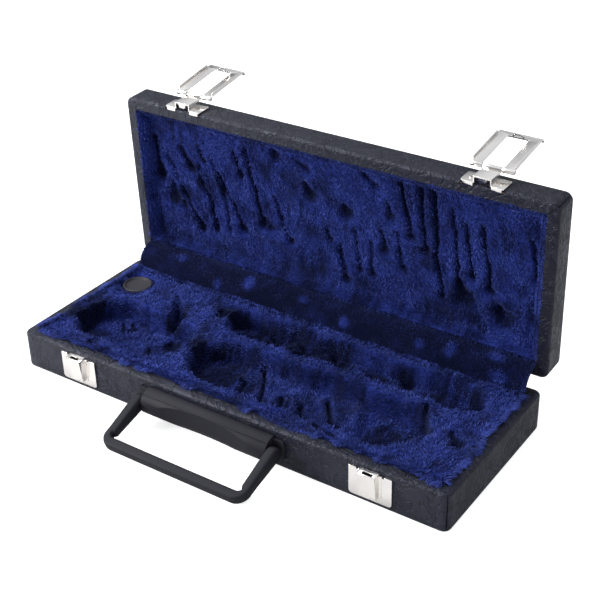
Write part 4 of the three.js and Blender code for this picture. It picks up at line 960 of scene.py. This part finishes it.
def plant_pile(name, surface_piece, counts, length, seed, keep, edges, overhang, meeting):
    """Counts are for the whole face and for its border; edges are the sides that the border spills over."""
    rng = np.random.default_rng(seed)
    mesh = surface_piece.data
    mesh.calc_loop_triangles()
    corners = np.array([t.vertices[:] for t in mesh.loop_triangles])
    at = points_of(mesh)
    crush_and_shade = np.empty(len(at), np.float32)
    mesh.attributes["crush_and_shade"].data.foreach_get("value", crush_and_shade)
    a, b, c = (at[corners[:, k]] for k in range(3))
    cross = np.cross(b - a, c - a)
    area = np.linalg.norm(cross, axis=1) / 2
    normal = cross / (2 * area[:, None] + 1e-20)
    middle = (a + b + c) / 3
    low_x, high_x, low_y, high_y = edges
    gaps = np.stack([middle[:, 0] - low_x, high_x - middle[:, 0], middle[:, 1] - low_y, high_y - middle[:, 1]],
                    axis=1)
    kept = keep(middle, normal)
    count = sum(counts)
    everywhere = np.where(kept, area, 0)
    border = np.where(kept & (gaps.min(axis=1) < border_width), area, 0)
    chosen = np.concatenate([rng.choice(len(area), size=n, p=weight / weight.sum())
                             for n, weight in zip(counts, (everywhere, border))])
    u, v = rng.uniform(0, 1, (2, count))
    flip = u + v > 1
    u[flip], v[flip] = 1 - u[flip], 1 - v[flip]
    root = a[chosen] + (b - a)[chosen] * u[:, None] + (c - a)[chosen] * v[:, None]
    noise = lambda cell, step: soft_noise(root[:, 0], root[:, 1] + root[:, 2], cell, seed + step)
    pressed = crush_and_shade[corners[chosen]].mean(axis=1)
    up_way = normal[chosen]
    turn = 1.2 + 1.4 * noise(26, 1) + 0.7 * noise(6, 2)
    flow = np.stack([np.cos(turn), np.sin(turn), np.zeros(count)], axis=1)
    outward = sides[gaps[chosen].argmin(axis=1)]
    clump = np.clip(1 + 0.9 * noise(7, 5), 0.4, 1.7)[:, None]
    spill = ease(1.25 - gaps[chosen].min(axis=1) / spill_width)[:, None] * clump ** overhang
    flow = flow * (1 - spill) + outward * spill * (0.8 + 1.75 * overhang)
    flow -= up_way * (flow * up_way).sum(axis=1)[:, None]
    lean = (0.55 + 0.9 * pressed + rng.normal(0, 0.22, count))[:, None]
    way = up_way + flow * lean + rng.normal(0, 0.2, (count, 3))
    way /= np.linalg.norm(way, axis=1)[:, None]
    across = np.cross(way, rng.normal(0, 1, (count, 3)))
    across *= blade_half_width / np.linalg.norm(across, axis=1)[:, None]
    tuft = 0.8 + 0.35 * np.clip(noise(4, 3), 0, 1)
    tall = (length * rng.uniform(0.7, 1.15, count) * (1 - 0.6 * pressed) * tuft)[:, None]
    tall = np.minimum(tall * (1 + overhang * spill), tallest_blade)
    bend = flow / np.maximum(np.linalg.norm(flow, axis=1), 1)[:, None]
    curl = bend * tall * 0.28 - np.array([0, 0, 0.3]) * tall * spill
    foot, knee, tip = root - way * root_depth, root + way * tall * bend_at, root + way * tall + curl
    rows = [foot - across, foot + across, knee - across * 0.8, knee + across * 0.8,
            tip - across * 0.25, tip + across * 0.25]
    points = np.stack(rows, axis=1) * mm
    # Blades are darker where the lining is pressed and where it carries painted shade.
    tone = np.clip(1 - 0.8 * pressed + 0.42 * noise(9, 4) + rng.normal(0, 0.18, count), 0.03, 1.25)
    tips = tone[:, None] * np.array([0, 0, bend_at, bend_at, 1, 1])
    above = np.max([row[:, 2] for row in rows], axis=0) > meeting
    pieces = []
    for label, mine in ((name, ~above), (name + "_top", above)):
        if not mine.any():
            continue
        first = np.arange(mine.sum())[:, None] * len(rows)
        faces = np.concatenate([first + np.array([0, 1, 3, 2]), first + np.array([2, 3, 5, 4])])
        blades = bpy.data.meshes.new(label)
        blades.from_pydata(points[mine].reshape(-1, 3).tolist(), [], faces.tolist())
        store(blades, "tip", tips[mine].ravel())
        pieces.append(add_object(label, blades))
        paint(pieces[-1], pile)
    return pieces


# %% [markdown]
# The base gets the thickest pile, except in the seat of the pot. The lid's lining and pile are made
# lying flat and swung into the lid together. That mirrors the lining, so its faces are turned back.

# %% Pile of base and lid
looks_up = 0.12
base_meeting, lid_meeting = base_height - 0.4, tray_depth - 0.6


def open_base(at, way):
    from_pot = np.hypot(at[:, 0] - pot_x, at[:, 1] - pot_y)
    return (from_pot > pot_hole - 0.2) & (at[:, 2] > lining_bottom + 0.5) & (way[:, 2] > looks_up)


base_piles = plant_pile("base_pile", base_lining, (44000, 12000), 2.4, 51, open_base,
                        (-lining_half, lining_half, lining_front, lining_back), 0.8, base_meeting)
for piece in base_piles:
    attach(piece, "base")
lid_piles = plant_pile("lid_pile", lid_lining, (46000, 4000), 2.0, 61, lambda at, way: way[:, 2] > looks_up,
                       (-lining_half, lining_half, tray_front, tray_back), 0.1, lid_meeting)
for piece in (lid_lining, *lid_piles):
    apply_place(piece, lid_swing @ lid_inside)
edit_all(lid_lining)
face_outwards()
dress(lid_lining, plush, "plush", "lid", "lid_liner")
for piece in lid_piles:
    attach(piece, "lid")
print("pile:", sum(len(piece.data.polygons) for piece in (*base_piles, *lid_piles)), "faces")

# %% [markdown]
# When the lid shuts, it presses the tops of both piles towards their linings. The way that it presses
# is worked out from the lid's swing, and each top gets a mesh of its own.

# %% Way the lid presses
pressing = Vector((0, 0, -1))
pressing.rotate(lid_swing.to_quaternion())
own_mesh(base_piles[1])
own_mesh(lid_piles[1])
print("pressed:", base_piles[1].name, lid_piles[1].name)

# %% [markdown]
# The flap has a short pile on the side that shows. It is a sheet of cloth, glued at both ends, one on
# each half of the case. Its solid is hidden, and cloth and pile are fixed in place where they stand.

# %% Pile of the flap
shown_side = 6


def seen_side(at, way):
    return way[:, 1] * (at[:, 1] - hinge_y) + way[:, 2] * (at[:, 2] - hinge_z) > shown_side


(flap_pile,) = plant_pile("flap_pile", flap, (12000, 400), 1.7, 71, seen_side,
                          (-lining_half, lining_half, -999, 999), 0.0, 999)
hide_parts("hinge_flap")
for piece in (flap, flap_pile):
    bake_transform(piece)

# %% Finish
bpy.context.view_layer.update()
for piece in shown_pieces():
    if piece.type == "MESH" and not piece.data.materials:
        print("no finish on", piece.name)
